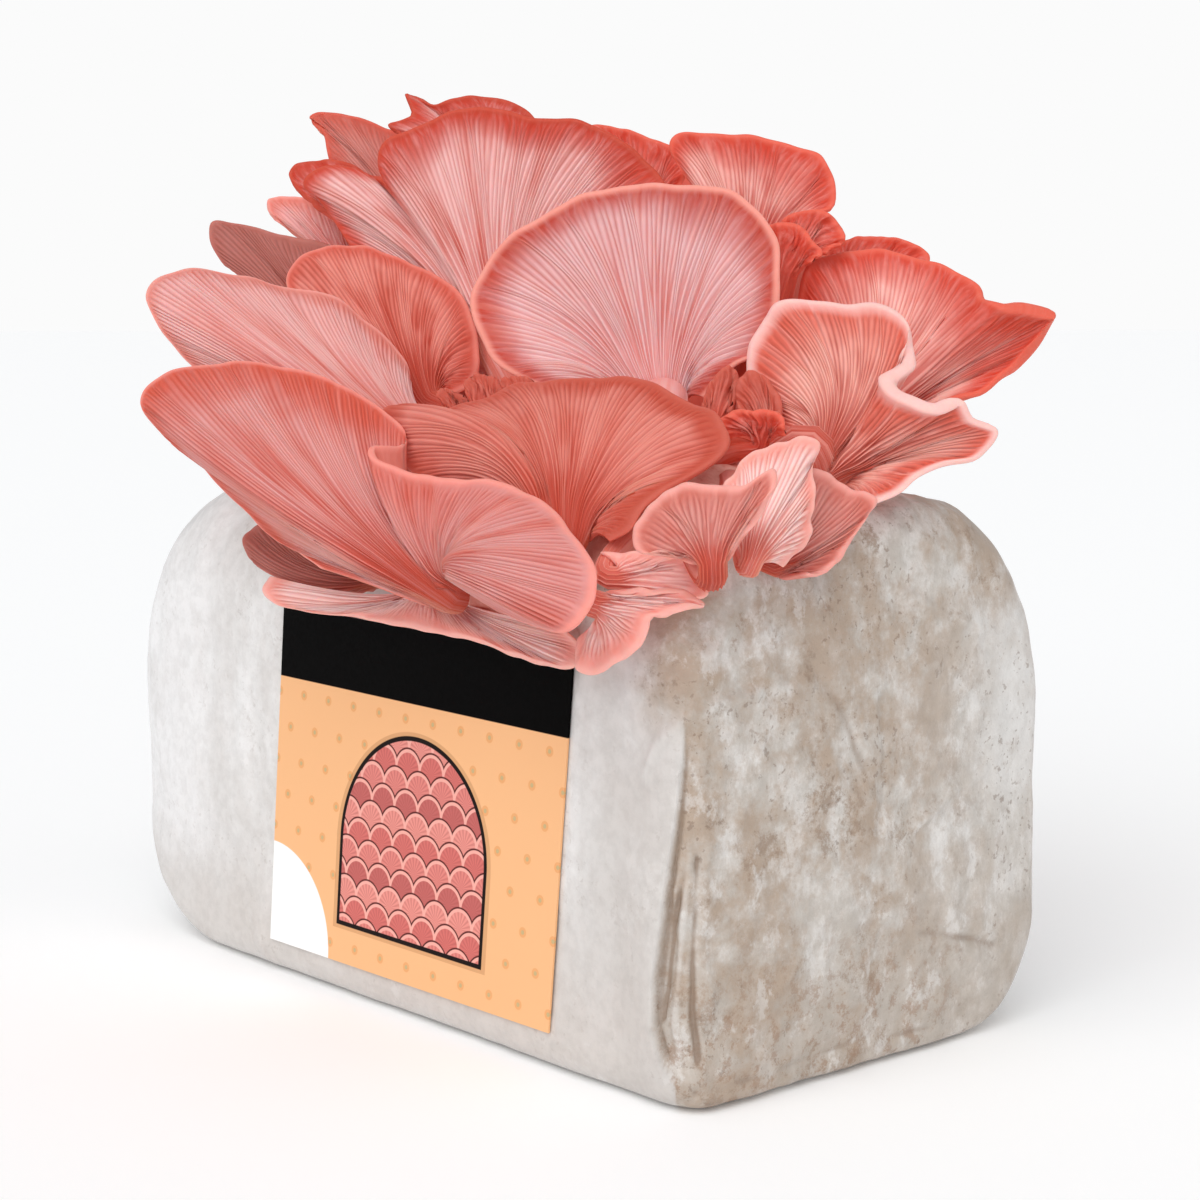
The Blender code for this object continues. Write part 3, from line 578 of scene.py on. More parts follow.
def filmFinish():
    made, n, shader = newMaterial("filmOverMycelium")
    place = n.place()
    x, y, z = n.parts(place)
    onEnd, paintedFoldShadeAndHighlight = n.attribute("onEnd"), n.attribute("paintedFoldShadeAndHighlight")
    cloud = n.noise(place, 34.0, 6.0, 0.62)
    patch = n.noise(place, 15.0, 4.0, 0.55)
    wisps = n.noise(place, 105.0, 8.0, 0.72, stretch=(1.0, 1.1, 0.8))
    grain = n.noise(place, 300.0, 5.0, 0.65)
    streak = n.noise(place, 60.0, 4.0, 0.55, stretch=(1.0, 1.0, 0.25))

    # where brown sawdust shows: at the right end and on the top near it, more towards the front and the top
    topRight = n.times(n.ramp(x, 0.040, 0.095), n.ramp(z, 0.088, 0.122), 0.9)
    earthy = n.most(onEnd, topRight)
    leftHalf = n.ramp(n.plus(y, n.times(patch, 0.05)), 0.072, 0.018)
    browner = n.most(leftHalf, n.ramp(z, 0.092, 0.118))
    weight = n.times(earthy, n.ramp(browner, 0.0, 1.0, 0.30, 1.0))

    # white growth elsewhere, whitest at the left end, greyer on the corner flap and near the floor
    white = n.mix(n.ramp(streak, 0.30, 0.72), tone(214, 211, 208), tone(236, 235, 234))
    white = n.mix(n.ramp(wisps, 0.46, 0.60, 0.0, 0.30), white, tone(205, 200, 196))
    white = n.mix(n.ramp(x, -0.050, -0.100, 0.0, 0.7), white, tone(243, 242, 243))
    white = n.mix(n.ramp(patch, 0.50, 0.66, 0.0, 0.5), white, tone(205, 201, 197))
    low = n.ramp(n.plus(z, n.times(cloud, 0.03)), 0.055, 0.022, 0.0, 0.9)
    white = n.mix(low, white, tone(206, 200, 195))
    onFlap = n.times(n.ramp(x, 0.082, 0.098), n.ramp(z, 0.090, 0.070), 0.7)
    white = n.mix(onFlap, white, tone(203, 197, 192))

    # grey growth between the sawdust on the end, paler at its far side and darker near the floor
    grey = n.mix(n.ramp(wisps, 0.40, 0.60), tone(194, 187, 179), tone(216, 211, 206))
    grey = n.mix(n.times(n.ramp(y, 0.020, 0.050), n.ramp(z, 0.045, 0.075)), grey, tone(222, 219, 216))
    grey = n.mix(n.ramp(z, 0.050, 0.015, 0.0, 0.55), grey, tone(176, 162, 148))
    colour = n.mix(earthy, white, grey)

    # two strengths of brown, then bright wisps
    crumbs = n.noise(place, 120.0, 8.0, 0.75)
    brown = n.times(n.ramp(n.plus(cloud, n.times(crumbs, 0.45)), 0.62, 0.84), weight)
    colour = n.mix(n.times(brown, 0.95), colour, tone(176, 156, 138))
    deep = n.times(n.ramp(n.noise(place, 74.0, 9.0, 0.82), 0.54, 0.63), weight)
    colour = n.mix(n.times(deep, 0.7), colour, tone(150, 126, 106))
    bright = n.times(n.ramp(wisps, 0.54, 0.62), n.ramp(patch, 0.40, 0.60, 0.15, 0.8))
    colour = n.mix(n.times(bright, n.ramp(earthy, 0.0, 1.0, 0.3, 0.5)), colour, tone(232, 230, 228))

    # rusty crumbs low on the end, dark specks of wood, grain, then painted shade in fold valleys and painted
    # highlight on fold ridges
    rust = n.times(n.ramp(n.noise(place, 190.0, 7.0, 0.8), 0.50, 0.60), n.ramp(z, 0.050, 0.014))
    rust = n.times(rust, onEnd, n.ramp(y, 0.045, 0.005), 0.6)
    colour = n.mix(rust, colour, tone(152, 118, 92))
    tiny = n.ramp(n.noise(place, 560.0, 3.0, 0.6), 0.60, 0.66)
    some = n.ramp(n.noise(place, 48.0, 4.0, 0.6), 0.44, 0.60)
    colour = n.mix(n.times(tiny, some, n.ramp(earthy, 0.0, 1.0, 0.15, 0.5)), colour, tone(122, 98, 80))
    colour = n.mix(n.ramp(grain, 0.35, 0.70, 0.0, 0.14), colour, tone(120, 110, 102))
    # painted shade in fold valleys, then painted highlight on fold ridges
    colour = n.mix(n.ramp(paintedFoldShadeAndHighlight, -0.1, -0.8, 0.0, 0.8), colour, tone(136, 114, 96))
    colour = n.mix(n.ramp(paintedFoldShadeAndHighlight, 0.1, 0.8, 0.0, 0.25), colour, tone(232, 230, 228))

    # film gloss, broken by where it clings
    cling = n.ramp(n.noise(place, 60.0, 4.0, 0.6), 0.35, 0.65)
    n.join(n.ramp(cling, 0.0, 1.0, 0.60, 0.15), shader["Coat Weight"])
    shader["Coat Roughness"].default_value = 0.20
    shader["Specular IOR Level"].default_value = 0.4
    crumple = n.noise(place, 80.0, 5.0, stretch=(1.0, 1.0, 0.6), noise_type="RIDGED_MULTIFRACTAL")
    height = n.plus(crumple, n.times(grain, 0.6))
    strength = n.ramp(onEnd, 0.0, 1.0, 0.25, 0.75)
    dress(n, shader, colour, n.ramp(cling, 0.0, 1.0, 0.40, 0.64), height, 0.0009, strength)
    return made


def myceliumFinish():
    made, n, shader = newMaterial("myceliumAndSawdust")
    place = n.place()
    cloud = n.noise(place, 60.0, 6.0, 0.65)
    colour = n.mix(n.ramp(cloud, 0.38, 0.62), tone(228, 224, 218), tone(176, 154, 134))
    dress(n, shader, colour, n.ramp(cloud, 0.3, 0.7, 0.8, 0.95), n.noise(place, 300.0, 5.0, 0.6), 0.001)
    return made


buildBag()
mycelium = myceliumFinish()
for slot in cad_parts["substrate_block"].material_slots:
    slot.material = mycelium
print("bag and block done")


# knot that the mushrooms share: a low dome from the skin's slit, with a foot turned under it

dome = {
    "rows": 26, "around": 96, "footRatio": 0.93,
    "bumpSizes": (0.011, 0.005), "bumps": (0.0022, 0.0012),
    "merge": 1e-6,
}


def knotFinish():
    made, n, shader = newMaterial("knotFlesh")
    place = n.place()
    cloud = n.noise(place, 90.0, 5.0, 0.6)
    colour = n.mix(n.ramp(cloud, 0.35, 0.65), tone(214, 120, 104), tone(238, 186, 172))
    dress(n, shader, colour, n.ramp(cloud, 0.3, 0.7, 0.55, 0.8), n.noise(place, 500.0, 4.0), 0.0006)
    return made


def buildKnot():
    rows, count = dome["rows"], dome["around"]
    rings = []
    for row in range(rows):
        ratio = math.sin(row / (rows - 1) * math.pi / 2)
        rings.append((ratio, knot["undercut"] + knot["height"] * math.sqrt(max(0.0, 1.0 - ratio ** 2))))
    rings.append((dome["footRatio"], 0.0))
    points = []
    for ratio, height in rings:
        for angle in np.arange(count) * 2 * math.pi / count:
            x = knot["x"] + knot["halfLength"] * ratio * math.cos(angle)
            points.append(shoulder(x, knot["arc"] + knot["halfWidth"] * ratio * math.sin(angle), height))
    points.append(shoulder(knot["x"], knot["arc"]))
    last = rows * count
    faces = tubeFaces(rows, count)
    faces += [(last + i, last + (i + 1) % count, len(points) - 1) for i in range(count)]
    mesh = meshFrom("knotShape", points, faces)
    work = bmesh.new()
    work.from_mesh(mesh)
    bmesh.ops.remove_doubles(work, verts=work.verts, dist=dome["merge"])
    work.to_mesh(mesh)
    work.free()
    points, normals = pointsAndNormals(mesh)
    large, small = (noiseAt(points, size, seed) for seed, size in enumerate(dome["bumpSizes"], 11))
    bumps = dome["bumps"][0] * np.abs(large) + dome["bumps"][1] * small
    mesh.vertices.foreach_set("co", (points + normals * bumps[:, None]).ravel())
    mesh.shade_smooth()
    mesh.materials.append(knotFinish())
    finishPiece("stem_knot", mesh, "cluster_base")


buildKnot()
print("knot done")


# mushrooms: rims and necks are (px, py, near) along the photograph's sight lines, near in mm

# middle and focal length of the photograph in pixels, and the depth in metres that near counts from
view = {"middle": 600.0, "focal": 2400.0, "depth": 0.6468}


def onSightLine(points):
    px, py, near = np.moveaxis(np.asarray(points, dtype=float), -1, 0)
    depth = (view["depth"] - near * mm)[..., None]
    across = ((px - view["middle"]) / view["focal"])[..., None]
    rising = ((view["middle"] - py) / view["focal"])[..., None]
    return eye + depth * (ahead + rightward * across + upward * rising)


def fromBehind(points):
    side, height, near = np.moveaxis(np.asarray(points, dtype=float), -1, 0)[..., None] * mm
    return level * near - rightward * side + np.array([0.0, 0.0, 1.0]) * height


cap = {
    "gillSpacing": 0.00155, "fewestGills": 14,
    "columns": (0.0, 0.14, 0.5, 0.86),   # places across one gill: ridge, flank, floor, flank
    "rowLength": 0.0021, "rowLimits": (10, 34), "stemRows": 8,
    "lipRows": (0.0034, 0.0025, 0.0018, 0.0013, 0.0008, 0.0004, 0.00012, 0.0),   # distance from the rim
    "lip": 0.0009,   # radius that the rim is rounded with
    "thickness": 0.0032, "rimThickness": 0.0015, "thinnest": 0.0004,
    "footFlare": 1.35, "footDepth": 0.0015, "stemRise": 3.2,
    "rimPull": 1.3,   # weight of the way to the rim in the direction that a stem arrives in
    "knee": (0.4, 0.005, 0.15),   # how far before the neck it has that direction: limit, length and share
    "stemDepth": (0.9, 0.09),   # half a stem's depth in the middle and at its sides, by its radius
    "stemAlong": 0.6,   # a stem's own length, in the measure that is 1 from neck to rim
    "lift": 0.32, "spread": 0.22,   # how far the fan goes the stem's way, and the rim's, before it bends
    "faced": 0.25, "flattened": 0.35,   # how far out it has turned from the stem's face, and is flat
    "sideThickness": 0.35,   # at the fan's sides, by its thickness in the middle
    "swell": (0.12, 0.4, 0.7),   # of the lip, how much more for a rolled one, and how wide
    # how gills stray from their lines: gills to a wave, waves along the fan, and how far, in gills
    "waver": ((3, 2.0, 0.11), (5, 1.4, 0.20), (9, 0.9, 0.33), (16, 0.5, 0.50)),
    "waverFade": (0.3, 0.004, 4.0),   # over the way out, metres from the rim, and gills from an end
    # gills are low where their gap times crowding is less than the spacing, this many gills from an end,
    # near the rim (from where and over what width), and by this share far out
    "crowding": 3.2, "endFade": 2.5, "rimFade": (0.0016, 0.0030), "outerFade": 0.35,
    "ripple": 0.0007, "rippleWaves": (3, 5, 8, 13),
    "ragged": ((6, 0.00010), (12, 0.00022), (23, 0.00045)),   # gills to a wave along the rim, and its size
    "beyondRim": 0.08,   # distance from the rim that stands for a stem
}


def smoothLine(points):
    # rounded line through the points
    given = np.array(points, dtype=float)
    given = np.vstack([2 * given[0] - given[1], given, 2 * given[-1] - given[-2]])
    line = []
    for p0, p1, p2, p3 in zip(given, given[1:], given[2:], given[3:]):
        for u in np.linspace(0.0, 1.0, 24, endpoint=False):
            line.append(0.5 * (2 * p1 + (p2 - p0) * u + (2 * p0 - 5 * p1 + 4 * p2 - p3) * u ** 2
                               + (3 * p1 - p0 - 3 * p2 + p3) * u ** 3))
    line.append(given[-2])
    return np.array(line)


def onBase(x, arc):
    # point on the knot's dome
    round0 = max(0.0, 1.0 - ratioFrom(x, arc) ** 2)
    return shoulder(x, arc, knot["undercut"] + knot["height"] * math.sqrt(round0))


def outwardOnBase(x, arc):
    step = 0.0005
    here = onBase(x, arc)
    out = unit(np.cross(onBase(x + step, arc) - here, onBase(x, arc + step) - here))
    return out if out[2] - out[1] > 0.0 else -out


def curvePoint(path, f):
    a, b, c, d = path
    return (1 - f) ** 3 * a + 3 * f * (1 - f) ** 2 * b + 3 * f * f * (1 - f) * c + f ** 3 * d


def curveHeading(path, f):
    a, b, c, d = path
    return unit((1 - f) ** 2 * (b - a) + 2 * f * (1 - f) * (c - b) + f * f * (d - c))


def carried(direction, before, after):
    # the direction, turned the shortest way that takes before to after
    axis = np.cross(before, after)
    cosine = before @ after
    return direction * cosine + np.cross(axis, direction) + axis * (axis @ direction) / (1.0 + cosine)


def addSockets(tree, direction, kind, *names):
    for name in names:
        tree.interface.new_socket(name, in_out=direction, socket_type="NodeSocket" + kind)


def fleshGroup():
    # one colour recipe for every mushroom: lip, coral band, belly, grooves and the smooth upper side
    tree = bpy.data.node_groups.new("fleshColours", "ShaderNodeTree")
    # Heart and Streaks are partly painted shade of the gills in the hollow near the neck; Groove is the
    # colour of painted shade between the gills
    addSockets(tree, "INPUT", "Color", "Lip", "Band", "Belly", "Heart", "Groove", "Back")
    addSockets(tree, "INPUT", "Float", "Band Width", "Heart Reach", "Streaks", "Lip Width")
    addSockets(tree, "OUTPUT", "Color", "Colour")
    addSockets(tree, "OUTPUT", "Float", "Roughness", "Height")
    n = Nodes(tree)
    given = n.add("NodeGroupInput").outputs
    rim, along, across, groove, gillTone, under, bandShare = (n.attribute(name) for name in (
        "rimDistance", "along", "across", "groove", "gillTone", "gillSide", "bandShare"))
    place = n.place()
    fan = n.filled("ShaderNodeCombineXYZ", {0: across, 1: along}).outputs[0]
    broad = n.noise(fan, 1.0, 3.0, 0.55, stretch=(0.11, 1.3, 1.0))
    fine = n.noise(fan, 1.0, 4.0, 0.6, stretch=(0.9, 5.0, 1.0))
    fibres = n.noise(fan, 1.0, 3.0, 0.6, stretch=(2.4, 14.0, 1.0))
    cloud = n.noise(place, 45.0)

    # gill side: belly with its deeper heart and streaks, partly the flesh's own deeper coral and partly
    # painted shade of the gills in the hollow, then the band, paler gills and painted shade in the grooves
    heart = n.times(n.ramp(along, given["Heart Reach"], 0.02), n.ramp(broad, 0.30, 0.62, 0.5, 1.0))
    deepCoralAndShade = n.most(heart, n.times(n.ramp(broad, 0.44, 0.66), given["Streaks"]))
    belly = n.mix(deepCoralAndShade, given["Belly"], given["Heart"])
    bandEdge = n.times(given["Band Width"], n.ramp(cloud, 0.25, 0.75, 0.6, 1.5))
    inBand = n.minus(1.0, n.ramp(n.math("DIVIDE", rim, bandEdge), 0.15, 1.6))
    belly = n.mix(n.times(inBand, n.ramp(fine, 0.3, 0.6, 0.75, 1.0), bandShare), belly, given["Band"])
    paler = n.times(n.ramp(gillTone, 0.35, 1.0), n.ramp(fine, 0.35, 0.65, 0.0, 0.3))
    belly = n.mix(paler, belly, given["Lip"])
    # painted shade between the gills, stronger where the heart and streaks are
    shadow = n.times(groove, n.ramp(deepCoralAndShade, 0.0, 0.7, 0.50, 0.88), n.ramp(fine, 0.3, 0.7, 0.7, 1.0))
    belly = n.mix(shadow, belly, given["Groove"])

    # smooth upper side, and the lip round both
    back = n.mix(n.ramp(cloud, 0.35, 0.65, 0.0, 0.5), given["Back"], given["Band"])
    back = n.mix(n.ramp(fine, 0.35, 0.7, 0.0, 0.35), back, given["Lip"])
    inLip = n.ramp(rim, n.times(given["Lip Width"], 0.2), given["Lip Width"], 0.85, 0.0)
    colour = n.mix(inLip, n.mix(under, back, belly), given["Lip"])
    height = n.plus(fibres, n.times(n.noise(place, 900.0, 2.0), 0.4))
    roughness = n.ramp(fine, 0.3, 0.7, 0.52, 0.68)
    n.filled("NodeGroupOutput", {"Colour": colour, "Roughness": roughness, "Height": height})
    return tree


fleshColours = fleshGroup()
paintedGlow = {"tone": tone(235, 84, 62), "strength": 0.045}   # painted glow of the flesh's own, standing for light that passes through thin caps and lifting their shade

# width of the band and the lip are in metres, and reach is the heart's, where 1 is the rim
# the tones are partly painted light: "bright" is a paler copy that lifts caps sitting in shade under others,
# the pale bellies of "centre" and "rosy" partly make up for caps that face the viewer and get less light, and
# "shaded" is a darker copy of painted shade for two caps at the left
fleshTones = {
    "frontLeft": dict(lip=(236, 150, 138), band=(200, 82, 62), belly=(214, 152, 149), heart=(188, 70, 48),
                      groove=(186, 66, 46), back=(222, 134, 122), width=0.0130, reach=0.50, streaks=0.55),
    "leftWide": dict(lip=(236, 164, 154), band=(208, 118, 106), belly=(226, 172, 170), heart=(200, 88, 70),
                     groove=(186, 78, 62), back=(224, 140, 130), width=0.0060, reach=0.40, streaks=0.40),
    "centre": dict(lip=(236, 160, 146), band=(186, 58, 40), belly=(230, 188, 190), heart=(226, 150, 144),
                   groove=(198, 88, 74), back=(224, 130, 116), width=0.0070, reach=0.15, streaks=0.35),
    "rosy": dict(lip=(188, 72, 50), band=(196, 58, 36), belly=(238, 192, 190), heart=(216, 120, 106),
                 groove=(190, 76, 60), back=(204, 94, 76), width=0.0085, reach=0.25, streaks=0.50),
    "tip": dict(lip=(206, 92, 74), band=(196, 88, 72), belly=(206, 138, 130), heart=(190, 92, 78),
                groove=(178, 82, 68), back=(196, 92, 76), width=0.0060, reach=0.30, streaks=0.30),
    "pink": dict(lip=(196, 98, 82), band=(188, 80, 62), belly=(218, 136, 124), heart=(192, 70, 48),
                 groove=(176, 60, 42), back=(212, 112, 96), width=0.0070, reach=0.60, streaks=0.50),
    "deep": dict(lip=(228, 138, 124), band=(200, 82, 64), belly=(222, 140, 128), heart=(188, 68, 46),
                 groove=(172, 54, 36), back=(208, 104, 88), width=0.0070, reach=0.60, streaks=0.70),
    "coral": dict(lip=(224, 104, 84), band=(206, 62, 40), belly=(248, 192, 184), heart=(182, 60, 40),
                  groove=(190, 62, 44), back=(222, 108, 90), width=0.0098, reach=0.75, streaks=0.40),
    "right": dict(lip=(248, 206, 200), band=(210, 90, 70), belly=(238, 172, 160), heart=(186, 70, 52),
                  groove=(168, 60, 44), back=(226, 138, 126), width=0.0070, reach=0.60, streaks=0.60,
                  lipWidth=0.0026),
    "pale": dict(lip=(238, 160, 150), band=(222, 124, 110), belly=(240, 184, 182), heart=(206, 100, 84),
                 groove=(198, 94, 80), back=(230, 146, 134), width=0.0045, reach=0.35, streaks=0.40),
    "ruffled": dict(lip=(240, 172, 162), band=(198, 106, 92), belly=(206, 140, 132), heart=(200, 84, 66),
                    groove=(176, 66, 50), back=(228, 144, 132), width=0.0045, reach=0.45, streaks=0.45),
    # paler copy: painted light for caps in shade under others
    "bright": dict(lip=(250, 186, 176), band=(240, 150, 136), belly=(252, 212, 208), heart=(224, 126, 110),
                   groove=(210, 104, 88), back=(236, 152, 140), width=0.0040, reach=0.40, streaks=0.35),
    "shaded": dict(lip=(180, 112, 102), band=(166, 94, 84), belly=(174, 108, 100), heart=(152, 78, 66),
                   groove=(138, 66, 56), back=(168, 104, 94), width=0.0050, reach=0.40, streaks=0.40),
}


def fleshFinish(name, look):
    made, n, shader = newMaterial(name + "Flesh")
    inputs = {key.capitalize(): tone(*value) for key, value in look.items() if isinstance(value, tuple)}
    inputs.update({"Band Width": look["width"], "Heart Reach": look["reach"], "Streaks": look["streaks"],
                   "Lip Width": look.get("lipWidth", 0.0024)})
    group = n.filled("ShaderNodeGroup", inputs, node_tree=fleshColours).outputs
    # subsurface, a painted glow of the flesh's own, and the shine
    for socket, value in (("Subsurface Weight", 0.35), ("Subsurface Radius", (1.0, 0.35, 0.22)),
                          ("Subsurface Scale", 0.0022), ("Specular IOR Level", 0.3),
                          ("Emission Color", paintedGlow["tone"]), ("Emission Strength", paintedGlow["strength"])):
        shader[socket].default_value = value
    dress(n, shader, group["Colour"], group["Roughness"], group["Height"], 0.0004, 0.25)
    return made


flesh = {name: fleshFinish(name, look) for name, look in fleshTones.items()}

gills = {"Gill Depth": 0.0011, "Half Gill Start": 0.16, "Short Gill Start": 0.42, "Start Spread": 0.16,
         "Ridge Width": 0.12}
gillSeed = 4


def gillTree():
    # raises the gills on a cap that knows how far across and along each point lies
    tree = bpy.data.node_groups.new("gillsOnCap", "GeometryNodeTree")
    addSockets(tree, "INPUT", "Geometry", "Geometry")
    addSockets(tree, "INPUT", "Float", *gills)
    addSockets(tree, "INPUT", "Int", "Seed")
    addSockets(tree, "INPUT", "Material", "Material")
    addSockets(tree, "OUTPUT", "Geometry", "Geometry")
    n = Nodes(tree)
    given = n.add("NodeGroupInput").outputs

    def chance(low, high, seed):
        # the node's inputs 2 and 3 are the limits of its plain number, and its output 1 is that number
        inputs = {2: low, 3: high, "ID": index, "Seed": n.plus(given["Seed"], seed)}
        return n.filled("FunctionNodeRandomValue", inputs, data_type="FLOAT").outputs[1]

    across, along, relief = (
        n.filled("GeometryNodeInputNamedAttribute", {"Name": name}, data_type="FLOAT").outputs["Attribute"]
        for name in ("across", "along", "relief"))
    index = n.math("ROUND", across)
    counted = n.math("ABSOLUTE", index)
    ridge = n.ramp(n.math("ABSOLUTE", n.minus(across, index)), 0.5, given["Ridge Width"])

    # every second gill starts far out, every fourth a little way out, and the others at the stem
    short = n.math("MODULO", counted, 2.0)
    half = n.math("COMPARE", n.math("MODULO", counted, 4.0), 2.0, 0.1)
    whole = n.times(n.minus(1.0, short), n.minus(1.0, half))
    begin = n.plus(n.times(short, given["Short Gill Start"]), n.times(half, given["Half Gill Start"]))
    begin = n.plus(begin, n.times(chance(-1.0, 1.0, 0.0), given["Start Spread"]))
    begin = n.minus(begin, n.times(whole, 2.0))
    strength = n.times(n.ramp(along, begin, n.plus(begin, 0.14)), ridge)
    height = n.minus(n.times(strength, chance(0.5, 1.15, 7.0)), 0.45)
    height = n.times(given["Gill Depth"], relief, height)
    normal = n.add("GeometryNodeInputNormal").outputs[0]
    push = n.filled("ShaderNodeVectorMath", {0: normal, "Scale": height}, operation="SCALE").outputs[0]
    stored = n.filled("GeometryNodeSetPosition", {"Geometry": given["Geometry"], "Offset": push}).outputs[0]

    # kept for the colours
    groove = n.times(n.minus(1.0, strength), n.ramp(relief, 0.0, 0.5))
    for name, value in (("groove", groove), ("gillTone", chance(0.0, 1.0, 3.0))):
        inputs = {"Name": name, "Geometry": stored, "Value": value}
        store = n.filled("GeometryNodeStoreNamedAttribute", inputs, data_type="FLOAT", domain="POINT")
        stored = store.outputs["Geometry"]
    real = n.filled("GeometryNodeRealizeInstances", {"Geometry": stored}).outputs[0]
    smoothed = n.filled("GeometryNodeSetShadeSmooth", {"Geometry": real}).outputs[0]
    painted = n.filled("GeometryNodeSetMaterial", {"Geometry": smoothed, "Material": given["Material"]})
    n.filled("NodeGroupOutput", {"Geometry": painted.outputs[0]})
    return tree


gillsOnCap = gillTree()


def withGills(name, mesh, material, seed):
    # runs the tree on the smooth cap and keeps its result as a plain mesh
    carrier = bpy.data.objects.new(name + "_smooth", mesh)
    bpy.context.scene.collection.objects.link(carrier)
    change = carrier.modifiers.new("gills", "NODES")
    change.node_group = gillsOnCap
    values = {**gills, "Seed": seed, "Material": material}
    for item in gillsOnCap.interface.items_tree:
        if item.in_out == "INPUT" and item.name in values:
            change[item.identifier] = values[item.name]
    graph = bpy.context.evaluated_depsgraph_get()
    finished = carrier.evaluated_get(graph)
    made = bpy.data.meshes.new_from_object(finished, preserve_all_data_layers=True, depsgraph=graph)
    bpy.data.objects.remove(carrier, do_unlink=True)
    made.name = name
    return made


def alongRim(values, share):
    # values given at even steps along the rim, read at these shares of it
    return np.interp(share, np.linspace(0.0, 1.0, len(values)), values)


def raggedRim(plan, place, middle, random):
    # share of the rim, count of gills so far and place of each column at the rim
    line = smoothLine(plan["rim"])
    length = np.linalg.norm(np.diff(place(line), axis=0), axis=1).sum()
    count = max(cap["fewestGills"], int(round(length / cap["gillSpacing"])))
    across = np.array([k + c for k in range(count) for c in cap["columns"]] + [float(count)])
    share = across / count
    drawn = np.concatenate([[0.0], np.cumsum(np.linalg.norm(np.diff(line, axis=0), axis=1))])
    edge = place(np.stack([np.interp(share * drawn[-1], drawn, values) for values in line.T], axis=1))
    fromEnds = smooth(count * share * (1 - share) / 3)
    for gillsEach, size in cap["ragged"]:
        wave = np.sin(2 * math.pi * (count / gillsEach * share + random.random())) * fromEnds
        edge = edge + unit(edge - middle) * (size * wave)[:, None]
    return share, across, edge


def stemRings(path, radius, side, facing, swing, bulge):
    # front and back halves of the rings from the foot to just under the neck, and how far along they lie
    lower, upper, along = [], [], []
    before = curveHeading(path, 1.0)
    for f in np.linspace(1.0, 0.0, cap["stemRows"] + 1)[1:]:
        here = curveHeading(path, f)
        side, facing = carried(side, before, here), carried(facing, before, here)
        before = here
        size = radius * (1.0 + (cap["footFlare"] - 1.0) * (1 - f) ** 3)
        centre = curvePoint(path, f)
        lower.append(centre + size * (swing * side + bulge * facing))
        upper.append(centre + size * (swing * side - bulge * facing))
        along.append(np.full(len(swing), (f - 1.0) * cap["stemAlong"]))
    return lower[::-1], upper[::-1], along[::-1]


def stemPath(plan, radius, place, middle, edge):
    # the stem leaves the knot upright and reaches the neck in the direction that the fan goes on in;
    # returns its path, that direction, and the directions of its face and its right side
    footX, footArc = plan["foot"][0] * mm, plan["foot"][1] * mm
    up = outwardOnBase(footX, footArc)
    root = onBase(footX, footArc) - up * cap["footDepth"]
    if "grow" in plan:
        right, above, near = plan["grow"]
        axis = unit(right * rightward + above * upward - near * ahead)
    else:
        axis = unit(unit(middle - root) + cap["rimPull"] * unit(edge.mean(axis=0) - middle))
    viewer = -ahead if place is onSightLine else level
    facing = unit(viewer - axis * (viewer @ axis))
    reach = np.linalg.norm(middle - root)
    limit, length, portion = cap["knee"]
    knee = middle - axis * min(limit * reach, length + portion * reach)
    leaving = (knee - root) * 2 / 3
    leaving += up * max(0.0, cap["stemRise"] * radius - leaving @ up)
    path = (root, root + leaving, knee + (middle - knee) / 3, middle)
    return path, axis, facing, unit(np.cross(axis, facing))


def halfThickness(along, rimDistance, roll, sweep, radius):
    # round at the neck, flat further out, rounded and often rolled at the rim
    flat = smooth(along / cap["flattened"])
    thick = cap["thickness"] * (1 - along) + roll * cap["rimThickness"] * along
    thin = cap["sideThickness"]
    taper = thin + (1 - thin) * np.sqrt(np.abs(sweep))
    half = (1 - flat) * cap["stemDepth"][0] * radius * sweep + flat * thick / 2 * taper
    edgeRound = roll * cap["lip"]
    rounding = np.clip(rimDistance / edgeRound, 0.0, 1.0)
    half = np.maximum(half, cap["thinnest"]) * np.sqrt(1.0 - (1.0 - rounding) ** 2)
    plain, rolled, wide = cap["swell"]
    swell = np.exp(-((rimDistance - edgeRound) / (wide * edgeRound)) ** 2)
    return half * (1.0 + (plain + rolled * (roll - 1.0)) * swell)


def gillRelief(lower, across, along, rimDistance, roll, fromEnds):
    # how high the gills stand, from 0 to 1
    gap = np.linalg.norm(np.gradient(lower, axis=1), axis=2) / np.gradient(across)
    relief = np.clip(gap * cap["crowding"] / cap["gillSpacing"], 0.0, 1.0) * smooth(fromEnds / cap["endFade"])
    begin, width = cap["rimFade"]
    relief = relief * smooth((rimDistance - begin * roll) / width) * smooth((along + 0.5) / 0.5)
    return relief * (1.0 - cap["outerFade"] * smooth((along - 0.1) / 0.6))


